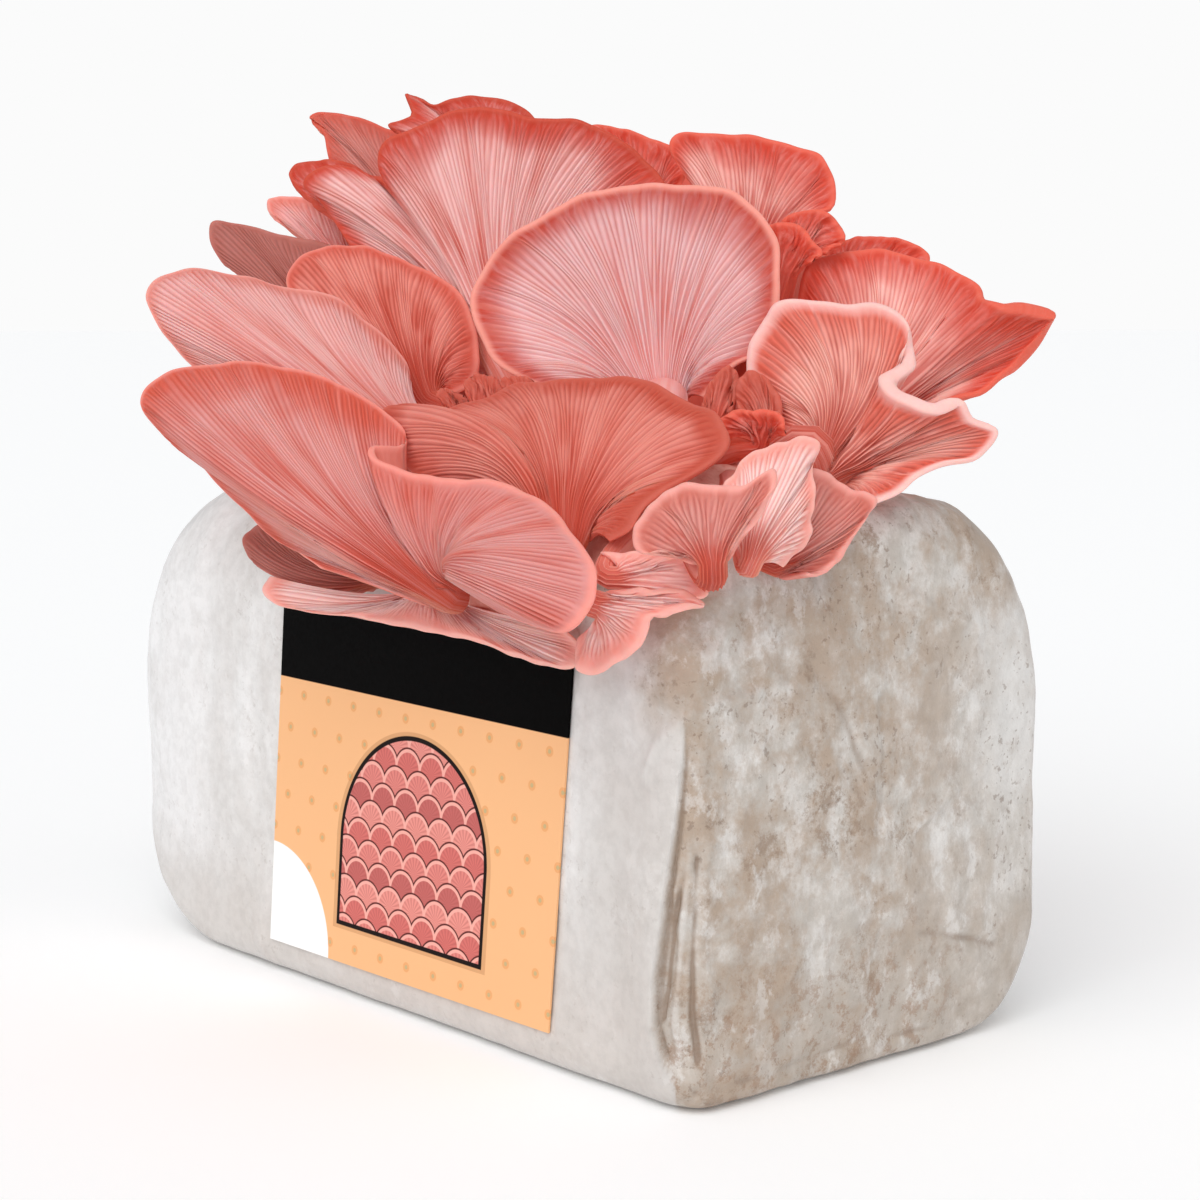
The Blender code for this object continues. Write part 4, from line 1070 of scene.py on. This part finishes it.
def capFaces(rows, columns):
    # the gill side has every column, the smooth upper side one for each gill; both share the rim
    step = len(cap["columns"])
    fewer = (columns - 1) // step + 1
    base = rows * columns
    faces = []
    for r in range(rows - 1):
        a = r * columns
        for c in range(columns - 1):
            faces.append((a + c, a + c + 1, a + columns + c + 1, a + columns + c))
    for r in range(rows - 2):
        a = base + r * fewer
        for c in range(fewer - 1):
            faces.append((a + c + 1, a + c, a + fewer + c, a + fewer + c + 1))
        faces.append((r * columns, (r + 1) * columns, a + fewer, a))
        end = (r + 1) * columns - 1
        faces.append((end + columns, end, a + fewer - 1, a + 2 * fewer - 1))
    lastUpper = base + (rows - 2) * fewer
    rimRow = (rows - 1) * columns
    for c in range(fewer - 1):
        rimPart = [rimRow + c * step + i for i in range(step + 1)]
        faces.append((lastUpper + c, *rimPart, lastUpper + c + 1))
    faces.append((rimRow - columns, rimRow, lastUpper))
    faces.append((lastUpper + fewer - 1, rimRow + columns - 1, rimRow - 1))
    hub = lastUpper + fewer
    ring = list(range(columns)) + [base + u for u in range(fewer - 1, -1, -1)]
    faces += [(hub, b, a) for a, b in zip(ring, ring[1:] + ring[:1])]
    return faces


def capMesh(plan, seed):
    random = np.random.default_rng(seed)
    place = plan.get("place", onSightLine)
    middle = place(plan["neck"])
    share, across, edge = raggedRim(plan, place, middle, random)
    count = across[-1]
    radius = plan["stem"] * mm
    path, axis, facing, side = stemPath(plan, radius, place, middle, edge)
    sweep = np.sin(math.pi * share)
    swing = -np.cos(math.pi * share)[:, None]
    deep, shallow = cap["stemDepth"]
    bulge = np.maximum(deep * sweep, shallow)[:, None]
    lower, upper, stemAlong = stemRings(path, radius, side, facing, swing, bulge)

    # fan: gill lines lean with the stem and spread to the rim; the last rows round off the lip
    start = middle + swing * side * radius
    length = np.linalg.norm(edge - middle, axis=1)[:, None]
    bend = start + axis * plan.get("lift", cap["lift"]) * length + (edge - start) * cap["spread"]
    run = (np.linalg.norm(bend - start, axis=1) + np.linalg.norm(edge - bend, axis=1))[None, :]
    lipRows = np.array(cap["lipRows"])[:, None]
    outer = 1.0 - np.minimum(lipRows, 0.3 * run * lipRows / lipRows[0]) / run
    rowCount = int(np.clip(run.max() / cap["rowLength"], *cap["rowLimits"]))
    inner = np.linspace(0.0, 1.0, rowCount, endpoint=False)[:, None] * outer[:1]
    along = np.vstack([inner, outer])
    f = along[:, :, None]
    surface = (1 - f) ** 2 * start + 2 * f * (1 - f) * bend + f ** 2 * edge
    out = unit(np.cross(np.gradient(surface, axis=1), np.gradient(surface, axis=0)))
    blend = smooth(f / cap["faced"])
    out = unit(out * blend + facing * (1 - blend))
    rimDistance = (1.0 - along) * run
    roll = alongRim(plan.get("roll", (1.0,)), share)[None, :]
    half = halfThickness(along, rimDistance, roll, sweep, radius)[:, :, None]
    wave = sum(np.sin(2 * math.pi * (turns * share + random.random())) / math.sqrt(turns)
               for turns in cap["rippleWaves"])
    surface = surface + out * (cap["ripple"] * wave[None, :] * along ** 2)[:, :, None]

    # each gill strays a little from its line, together with its neighbours
    stray = np.zeros(along.shape)
    for gillsEach, rise, size in cap["waver"]:
        turns = count / gillsEach * share[None, :] + rise * along + random.random()
        stray += size * np.sin(2 * math.pi * turns)
    fromEnds = np.minimum(share, 1.0 - share)[None, :] * count
    wayOut, fromRim, gillsIn = cap["waverFade"]
    stray *= smooth(along / wayOut) * smooth(rimDistance / fromRim) * smooth(fromEnds / gillsIn)
    surface = surface + np.gradient(surface, axis=1) * (stray / np.gradient(across))[:, :, None]

    # stem and fan together
    lower = np.array(lower + list(surface + out * half))
    upper = np.array(upper + list(surface - out * half))
    rows, columns = lower.shape[:2]
    along = np.vstack([np.array(stemAlong), along])
    rimDistance = np.vstack([np.full((cap["stemRows"], columns), cap["beyondRim"]), rimDistance])
    relief = gillRelief(lower, across, along, rimDistance, roll, fromEnds)
    gillColumns = slice(0, columns, len(cap["columns"]))
    points = [lower.reshape(-1, 3), upper[:-1, gillColumns].reshape(-1, 3), lower[0].mean(axis=0)[None]]
    mesh = meshFrom(plan["name"], np.vstack(points), capFaces(rows, columns))
    whole = np.ones((rows, columns))
    banding = alongRim(plan.get("banding", (1.0,)), share)
    # values on the gill side, whether the upper side has them too, and the value at the foot
    for name, values, above, foot in (
            ("across", across * whole, True, 0.0), ("along", along, True, -cap["stemAlong"]),
            ("rimDistance", rimDistance / roll, True, cap["beyondRim"]),
            ("bandShare", banding * whole, True, 1.0), ("relief", relief, False, 0.0),
            ("gillSide", whole, False, 0.0)):
        onUpper = values[:-1, gillColumns] * (1.0 if above else 0.0)
        addAttribute(mesh, name, np.concatenate([values.ravel(), onUpper.ravel(), [foot]]))
    return mesh


def buildMushroom(plan, seed):
    name = "oyster_" + plan["name"]
    made = withGills(name, capMesh(plan, seed), flesh[plan["tone"]], gillSeed + seed * 10)
    finishPiece(name, made, "mushroom_" + plan["name"])
    return len(made.polygons)


mushrooms = [
    dict(name="front_left_large", foot=(38, 18), neck=(450, 594, 99), stem=4.5, tone="frontLeft",
         banding=(1, 1, 1, 1, 1, 1, 0.9, 0.6, 0.3, 0.15, 0.15, 0.3),
         rim=[(318, 566, 92), (262, 524, 76), (202, 463, 68), (161, 433, 62), (140, 402, 58),
              (164, 376, 56), (228, 363, 58), (304, 372, 66), (362, 398, 74), (399, 424, 80),
              (404, 438, 83), (396, 446, 87), (382, 446, 91), (369, 449, 95), (374, 459, 99),
              (396, 467, 102), (440, 476, 106), (510, 486, 116),
              (552, 507, 130), (576, 540, 144), (596, 570, 155), (592, 606, 158), (568, 632, 156),
              (525, 624, 140), (492, 606, 122)]),
    dict(name="front_center", foot=(66, 24), neck=(565, 543, 119), stem=5, tone="pink",
         banding=(1, 1, 1, 1, 1, 1.3, 1.6, 1.6, 1.2, 1),
         rim=[(488, 506, 97), (430, 484, 86), (394, 450, 76), (385, 411, 68), (430, 409, 70), (480, 404, 76),
              (525, 386, 82), (598, 378, 90), (659, 386, 98), (707, 409, 108), (728, 436, 116),
              (723, 457, 119), (702, 473, 122), (672, 487, 124), (645, 502, 127), (631, 530, 130),
              (610, 542, 129)]),
    dict(name="center_tall", foot=(62, 56), neck=(660, 408, 63), stem=6, tone="centre",
         rim=[(560, 395, 63), (508, 373, 61), (480, 338, 59), (469, 302, 57), (486, 264, 57),
              (520, 230, 59), (575, 196, 63), (642, 186, 66), (714, 185, 68), (757, 210, 70),
              (779, 248, 72), (780, 300, 74), (766, 346, 75), (732, 370, 73), (705, 398, 69)]),
    dict(name="upper_left_large", foot=(16, 60), neck=(500, 345, 11), stem=6, tone="rosy",
         rim=[(400, 320, -2), (345, 240, -15), (318, 198, -17), (306, 183, -17), (320, 170, -15),
              (345, 166, -13), (375, 176, -11), (390, 190, -2), (378, 165, 3), (385, 143, 5),
              (420, 123, 5), (471, 108, 8), (528, 115, 10), (579, 121, 13), (630, 147, 15),
              (665, 180, 17), (670, 230, 22), (620, 300, 22)]),
    dict(name="upper_right", foot=(60, 80), neck=(745, 268, 30), stem=5, tone="coral",
         rim=[(715, 230, 26), (690, 185, 26), (669, 150, 26), (674, 134, 26), (700, 133, 26),
              (760, 138, 28), (797, 144, 30), (822, 156, 32), (834, 182, 34), (830, 208, 36),
              (800, 214, 36), (782, 228, 36)]),
    dict(name="right_large", foot=(94, 66), neck=(825, 471, 96), stem=5, tone="right",
         roll=(1, 1.3, 1.9, 1.9, 1.9, 2.0, 2.0, 1.2, 1, 1, 1),
         rim=[(775, 430, 86), (748, 385, 80), (748, 350, 78), (765, 318, 77), (784, 300, 77),
              (845, 304, 82), (890, 310, 86), (912, 330, 88), (908, 358, 92), (888, 374, 98),
              (902, 393, 104), (935, 404, 106), (965, 398, 105), (975, 418, 103), (998, 431, 101),
              (980, 455, 101), (932, 470, 103), (906, 489, 106), (884, 500, 108), (858, 514, 109)]),
    dict(name="far_right", foot=(84, 78), neck=(852, 432, 63), stem=6, tone="coral",
         roll=(1, 1.2, 1.4, 1.2, 1, 1, 1.2, 2.2, 2.2, 1.2, 1, 1),
         rim=[(810, 380, 53), (796, 330, 45), (803, 275, 39), (830, 256, 39), (879, 249, 41),
              (937, 265, 47), (978, 281, 53), (984, 297, 59), (1000, 303, 63), (1030, 305, 59),
              (1052, 312, 55), (1050, 328, 54), (1038, 347, 55), (1012, 368, 57), (985, 391, 61),
              (950, 400, 63), (910, 430, 63)]),
    dict(name="low_right_inner", foot=(92, 36), neck=(712, 564, 155), stem=3, tone="ruffled", lift=0.12,
         grow=(-0.1, 1, 0.1),
         rim=[(662, 556, 152), (640, 553, 149), (632, 540, 147), (637, 524, 146), (653, 503, 146),
              (683, 486, 148), (714, 481, 150), (746, 483, 152), (773, 470, 152), (774, 490, 154),
              (752, 520, 155), (732, 546, 156)]),
    dict(name="low_right_middle", foot=(98, 47), neck=(752, 560, 144), stem=2.5, tone="bright", lift=0.12,
         grow=(0.3, 1, 0.1),
         rim=[(722, 520, 132), (726, 485, 128), (740, 463, 124), (758, 449, 122), (801, 440, 121),
              (819, 448, 121), (812, 466, 125), (816, 495, 129), (806, 540, 133), (784, 568, 135)]),
    dict(name="low_right_outer", foot=(101, 55), neck=(776, 566, 125), stem=2.5, tone="ruffled", lift=0.12,
         grow=(1, 0, 0.2),
         rim=[(786, 524, 125), (794, 486, 120), (808, 470, 117), (828, 475, 115), (850, 489, 114),
              (877, 500, 115), (868, 518, 117), (852, 543, 120), (838, 561, 124), (822, 573, 126),
              (808, 569, 128)]),
    dict(name="front_drooping", foot=(79, 16), neck=(600, 606, 130), stem=3, tone="bright", lift=0.1,
         grow=(1, -0.3, 0.2),
         rim=[(622, 592, 134), (650, 590, 138), (685, 594, 141), (703, 606, 143), (672, 613, 141),
              (654, 618, 139), (646, 638, 138), (630, 656, 137), (602, 671, 134), (577, 668, 131),
              (578, 640, 128)]),
    dict(name="front_small", foot=(91, 29), neck=(618, 578, 129), stem=2.5, tone="bright", lift=0.1,
         grow=(1, 0.1, 0.1),
         rim=[(600, 553, 126), (628, 549, 129), (662, 552, 131), (694, 566, 133), (706, 586, 136),
              (703, 598, 137), (672, 600, 134), (642, 596, 131)]),
    dict(name="front_lowest", foot=(23, 4), neck=(430, 588, 80), stem=3, tone="bright", lift=0.1,
         grow=(0, -1, 0.3),
         rim=[(560, 622, 112), (578, 645, 116), (577, 668, 117), (545, 664, 111), (500, 650, 102),
              (440, 634, 89), (380, 622, 75), (320, 614, 62), (278, 605, 53), (264, 592, 50),
              (272, 577, 50)]),
    dict(name="left_lowest", foot=(4, 20), neck=(382, 577, 63), stem=2.5, tone="shaded",
         rim=[(340, 574, 52), (284, 561, 43), (252, 557, 37), (244, 536, 35), (262, 524, 35),
              (285, 530, 41), (330, 552, 54), (370, 572, 64)]),
    dict(name="left_wide", foot=(0, 40), neck=(425, 458, 53), stem=5.5, tone="leftWide",
         rim=[(330, 445, 45), (240, 410, 37), (188, 362, 31), (154, 316, 25), (145, 292, 21),
              (166, 276, 18), (215, 274, 16), (279, 284, 18), (342, 305, 24), (401, 356, 36),
              (412, 404, 44), (424, 440, 51)]),
    dict(name="left_inner", foot=(-6, 52), neck=(425, 402, 28), stem=5, tone="deep",
         rim=[(370, 380, 18), (310, 330, 8), (288, 290, 1), (292, 266, -3), (320, 249, -4),
              (368, 249, -3), (427, 269, 3), (462, 300, 11), (478, 335, 18), (478, 378, 24),
              (450, 398, 28)]),
    dict(name="left_shaded", foot=(-9, 63), neck=(330, 330, -20), stem=4.5, tone="shaded",
         rim=[(300, 300, -28), (252, 278, -34), (222, 259, -36), (211, 236, -36), (216, 221, -36),
              (253, 227, -34), (304, 239, -28), (350, 256, -24), (370, 300, -20)]),
    dict(name="left_small_pale", foot=(-7, 73), neck=(345, 268, -34), stem=3.5, tone="pale",
         rim=[(315, 244, -38), (291, 228, -40), (270, 214, -42), (272, 200, -44), (300, 197, -42),
              (340, 210, -38), (362, 240, -34)]),
    dict(name="upper_left_small", foot=(1, 78), neck=(365, 232, -22), stem=3.5, tone="rosy",
         rim=[(345, 222, -22), (312, 201, -24), (292, 185, -26), (290, 170, -28), (317, 161, -28),
              (345, 162, -26), (375, 180, -24), (385, 210, -22)]),
    dict(name="upper_left_tip", foot=(8, 84), neck=(400, 200, -34), stem=4.5, tone="tip",
         rim=[(350, 190, -34), (328, 160, -38), (322, 131, -40), (310, 120, -42), (320, 113, -42),
              (345, 115, -40), (382, 125, -38), (420, 140, -36), (440, 170, -34)]),
    dict(name="topmost", foot=(20, 88), neck=(500, 175, -22), stem=4.5, tone="rosy",
         rim=[(450, 160, -22), (403, 137, -25), (386, 124, -26), (411, 115, -27), (407, 95, -30),
              (434, 105, -28), (455, 98, -26), (485, 94, -26), (512, 103, -24), (535, 120, -22),
              (560, 150, -22)]),
    dict(name="top_center", foot=(34, 76), neck=(640, 215, 6), stem=4, tone="coral",
         rim=[(600, 180, 4), (575, 135, 2), (600, 126, 0), (645, 134, 2), (676, 148, 4),
              (687, 165, 6), (680, 190, 6)]),
    dict(name="right_small_upper", foot=(74, 82), neck=(790, 262, 42), stem=3.5, tone="coral",
         rim=[(780, 240, 42), (782, 222, 42), (797, 213, 42), (815, 209, 44), (833, 216, 44),
              (848, 239, 46), (826, 252, 46)]),
    dict(name="right_small_lower", foot=(70, 72), neck=(780, 275, 58), stem=3.5, tone="coral",
         rim=[(764, 250, 58), (768, 228, 58), (792, 224, 59), (808, 232, 60), (823, 249, 62),
              (812, 262, 62)]),
    dict(name="right_sliver", foot=(66, 92), neck=(840, 300, 20), stem=4, tone="coral",
         rim=[(815, 270, 18), (830, 246, 16), (855, 238, 16), (890, 238, 18), (918, 246, 20),
              (930, 260, 22), (915, 285, 22)]),
    dict(name="young_left", foot=(20, 33), neck=(462, 418, 56), stem=3, tone="pink",
         rim=[(448, 408, 54), (438, 394, 53), (446, 388, 52), (460, 392, 54), (470, 402, 56)]),
    dict(name="young_middle", foot=(28, 33), neck=(486, 412, 62), stem=3, tone="pink",
         rim=[(470, 400, 60), (465, 384, 58), (478, 375, 57), (497, 379, 59), (503, 392, 62)]),
    dict(name="young_right", foot=(37, 33), neck=(522, 406, 68), stem=3, tone="pink",
         rim=[(506, 396, 66), (501, 384, 64), (514, 376, 64), (532, 380, 66), (540, 394, 68)]),
    dict(name="young_folded", foot=(78, 52), neck=(716, 425, 86), stem=3, tone="pink",
         rim=[(702, 408, 84), (708, 385, 82), (726, 368, 80), (737, 372, 80), (734, 395, 84),
              (726, 412, 86)]),
    dict(name="young_round", foot=(78, 58), neck=(762, 444, 90), stem=2.5, tone="pink",
         rim=[(738, 410, 88), (734, 385, 86), (748, 371, 85), (765, 376, 86), (778, 400, 90),
              (776, 425, 92)]),
    dict(name="young_low", foot=(89, 47), neck=(760, 443, 102), stem=2, tone="coral",
         rim=[(730, 440, 102), (718, 425, 102), (730, 414, 103), (765, 410, 106), (786, 418, 108),
              (784, 436, 108)]),
    dict(name="back_tall", foot=(28, 100), neck=(-32, 164, 14), stem=5, tone="coral", place=fromBehind,
         rim=[(-44, 180, 22), (-56, 196, 29), (-60, 208, 34), (-48, 215, 39), (-30, 219, 42),
              (-12, 217, 48), (2, 211, 53), (10, 200, 53), (4, 188, 45), (-12, 176, 31)]),
    dict(name="back_upper_left", foot=(50, 103), neck=(-60, 164, -2), stem=4.5, tone="pink", place=fromBehind,
         rim=[(-76, 168, 11), (-90, 172, 17), (-98, 181, 21), (-92, 189, 24), (-78, 194, 26),
              (-62, 201, 26), (-48, 198, 25), (-44, 187, 21), (-50, 175, 13)]),
    dict(name="back_lower_left", foot=(72, 100), neck=(-78, 149, -12), stem=4, tone="pale", place=fromBehind,
         rim=[(-90, 145, -3), (-102, 150, 6), (-105, 159, 13), (-95, 164, 18), (-80, 165, 21),
              (-66, 162, 22), (-58, 155, 16), (-64, 147, 4)]),
    dict(name="back_upper_right", foot=(12, 94), neck=(-2, 162, 32), stem=4.5, tone="pale", place=fromBehind,
         rim=[(-16, 172, 40), (-24, 186, 46), (-20, 200, 52), (-6, 206, 56), (12, 204, 60),
              (28, 194, 62), (34, 180, 60), (26, 168, 54), (10, 162, 44)]),
    dict(name="back_lower_right", foot=(-1, 89), neck=(18, 152, 28), stem=4, tone="pink", place=fromBehind,
         rim=[(16, 144, 38), (28, 142, 48), (44, 147, 55), (56, 154, 58), (60, 164, 58),
              (52, 172, 58), (40, 172, 56), (28, 164, 47)]),
]

faceCount = sum(buildMushroom(plan, i) for i, plan in enumerate(mushrooms))
print("mushrooms done,", faceCount, "faces")


# paper label: a black band, a peach field and a plain scalloped panel, with no lettering; sizes in mm

design = {
    "inkEdge": 0.12,   # over which one ink turns into the next
    "field": tone(245, 189, 139), "dotPitch": (11.0, 9.0),
    "dots": ((1.3, tone(236, 172, 118)), (0.55, tone(202, 178, 132))),
    "panel": tone(176, 98, 96), "panelMiddle": 60.0,
    "scallopPitch": (9.5, 5.2), "scallopRows": 12, "firstScallop": 8.0,
    "scallops": (tone(226, 138, 130), tone(214, 118, 112), tone(234, 152, 142), tone(196, 108, 104)),
    "cornerDisc": 27.0, "bandStart": 71.5,
}


def labelFinish():
    made, n, shader = newMaterial("printedPaper")
    u, v, _ = n.parts(n.add("ShaderNodeUVMap", uv_map="print").outputs["UV"])
    x, y = n.times(u, label["width"]), n.times(v, label["height"])

    def above(value, limit):
        return n.ramp(value, limit - design["inkEdge"], limit + design["inkEdge"])

    def below(value, limit):
        return n.minus(1.0, above(value, limit))

    def repeated(value, pitch):
        # distance along each repeat of the pattern, from its middle
        return n.minus(n.math("MODULO", value, pitch), pitch / 2)

    def disc(middleX, middleY, radius):
        return below(n.hypot(n.minus(x, middleX), n.minus(y, middleY)), radius)

    def arch(half, low, spring):
        # window with straight sides and a round top
        middle = design["panelMiddle"]
        sides = below(n.math("ABSOLUTE", n.minus(x, middle)), half)
        straight = n.times(sides, above(y, low), below(y, spring))
        return n.most(straight, n.times(disc(middle, spring, half), above(y, spring - 0.3)))

    # dots in offset rows, tone on tone
    pitch, rise = design["dotPitch"]
    row = n.math("FLOOR", n.math("DIVIDE", y, rise))
    shift = n.plus(n.times(n.math("MODULO", row, 2.0), pitch / 2), pitch)
    away = n.hypot(repeated(n.plus(x, shift), pitch), repeated(y, rise))
    colour = design["field"]
    for radius, ink in design["dots"]:
        colour = n.mix(below(away, radius), colour, ink)

    # scallops in the panel: rows of overlapping arcs in pinks
    pitch, rise = design["scallopPitch"]
    panel = design["panel"]
    for k in reversed(range(design["scallopRows"])):
        across = repeated(n.plus(x, pitch + k % 2 * pitch / 2), pitch)
        up = n.minus(y, design["firstScallop"] + k * rise)
        away = n.hypot(across, up)
        vein = n.math("ABSOLUTE", n.math("SINE", n.times(n.math("ARCTAN2", across, up), 9.0)))
        shell = n.mix(n.times(n.ramp(vein, 0.55, 0.95), 0.35), design["scallops"][k % 4], tone(170, 84, 82))
        shell = n.mix(below(away, pitch / 2 - 0.4), tone(244, 176, 164), shell)
        panel = n.mix(below(away, pitch / 2 + 0.9), panel, tone(92, 44, 44))
        panel = n.mix(below(away, pitch / 2 + 0.45), panel, shell)
    colour = n.mix(n.times(arch(31.5, 9.0, 33.0), 0.35), colour, tone(160, 110, 70))
    colour = n.mix(arch(30.0, 10.0, 33.5), colour, tone(34, 28, 27))
    colour = n.mix(arch(28.8, 11.2, 33.5), colour, panel)

    # white quarter disc in the lower left corner, black band across the top
    colour = n.mix(disc(0.0, 0.0, design["cornerDisc"]), colour, tone(250, 250, 249))
    colour = n.mix(above(y, design["bandStart"]), colour, tone(6, 5, 5))
    paper = n.noise(n.place(), 900.0, 4.0, 0.6)
    shader["Specular IOR Level"].default_value = 0.02
    dress(n, shader, colour, n.ramp(paper, 0.3, 0.7, 0.42, 0.56), paper, 0.0003, 0.12)
    return made


def buildLabel():
    # back and front layer of points, row by row from the lower left corner, then the paper's edge
    back = -(block["depth"] / 2 + block["film"] + 2 * block["gap"])
    across, up = label["steps"]
    corners = np.array(label["corners"])
    points, spots = [], []
    for y in (back, back - label["paper"]):
        for j in range(up + 1):
            for i in range(across + 1):
                u, v = i / across, j / up
                low = corners[0] * (1 - u) + corners[1] * u
                high = corners[3] * (1 - u) + corners[2] * u
                x, z = low * (1 - v) + high * v
                points.append((x, y, z))
                spots.append((u, v))
    wide = across + 1
    size = wide * (up + 1)
    faces = []
    for j in range(up):
        for i in range(across):
            a = j * wide + i
            faces.append((a, a + 1, a + wide + 1, a + wide))
            faces.append((size + a + wide, size + a + wide + 1, size + a + 1, size + a))
    rim = list(range(wide))
    rim += [j * wide + across for j in range(1, up + 1)]
    rim += [up * wide + i for i in range(across - 1, -1, -1)]
    rim += [j * wide for j in range(up - 1, 0, -1)]
    faces += [(a, b, size + b, size + a) for a, b in zip(rim, rim[1:] + rim[:1])]
    mesh = meshFrom("labelShape", points, faces)
    layer = mesh.uv_layers.new(name="print")
    for loop in mesh.loops:
        layer.data[loop.index].uv = spots[loop.vertex_index]
    mesh.materials.append(labelFinish())
    mesh.shade_flat()
    finishPiece("paper_label", mesh, "label")


buildLabel()
print("label done")
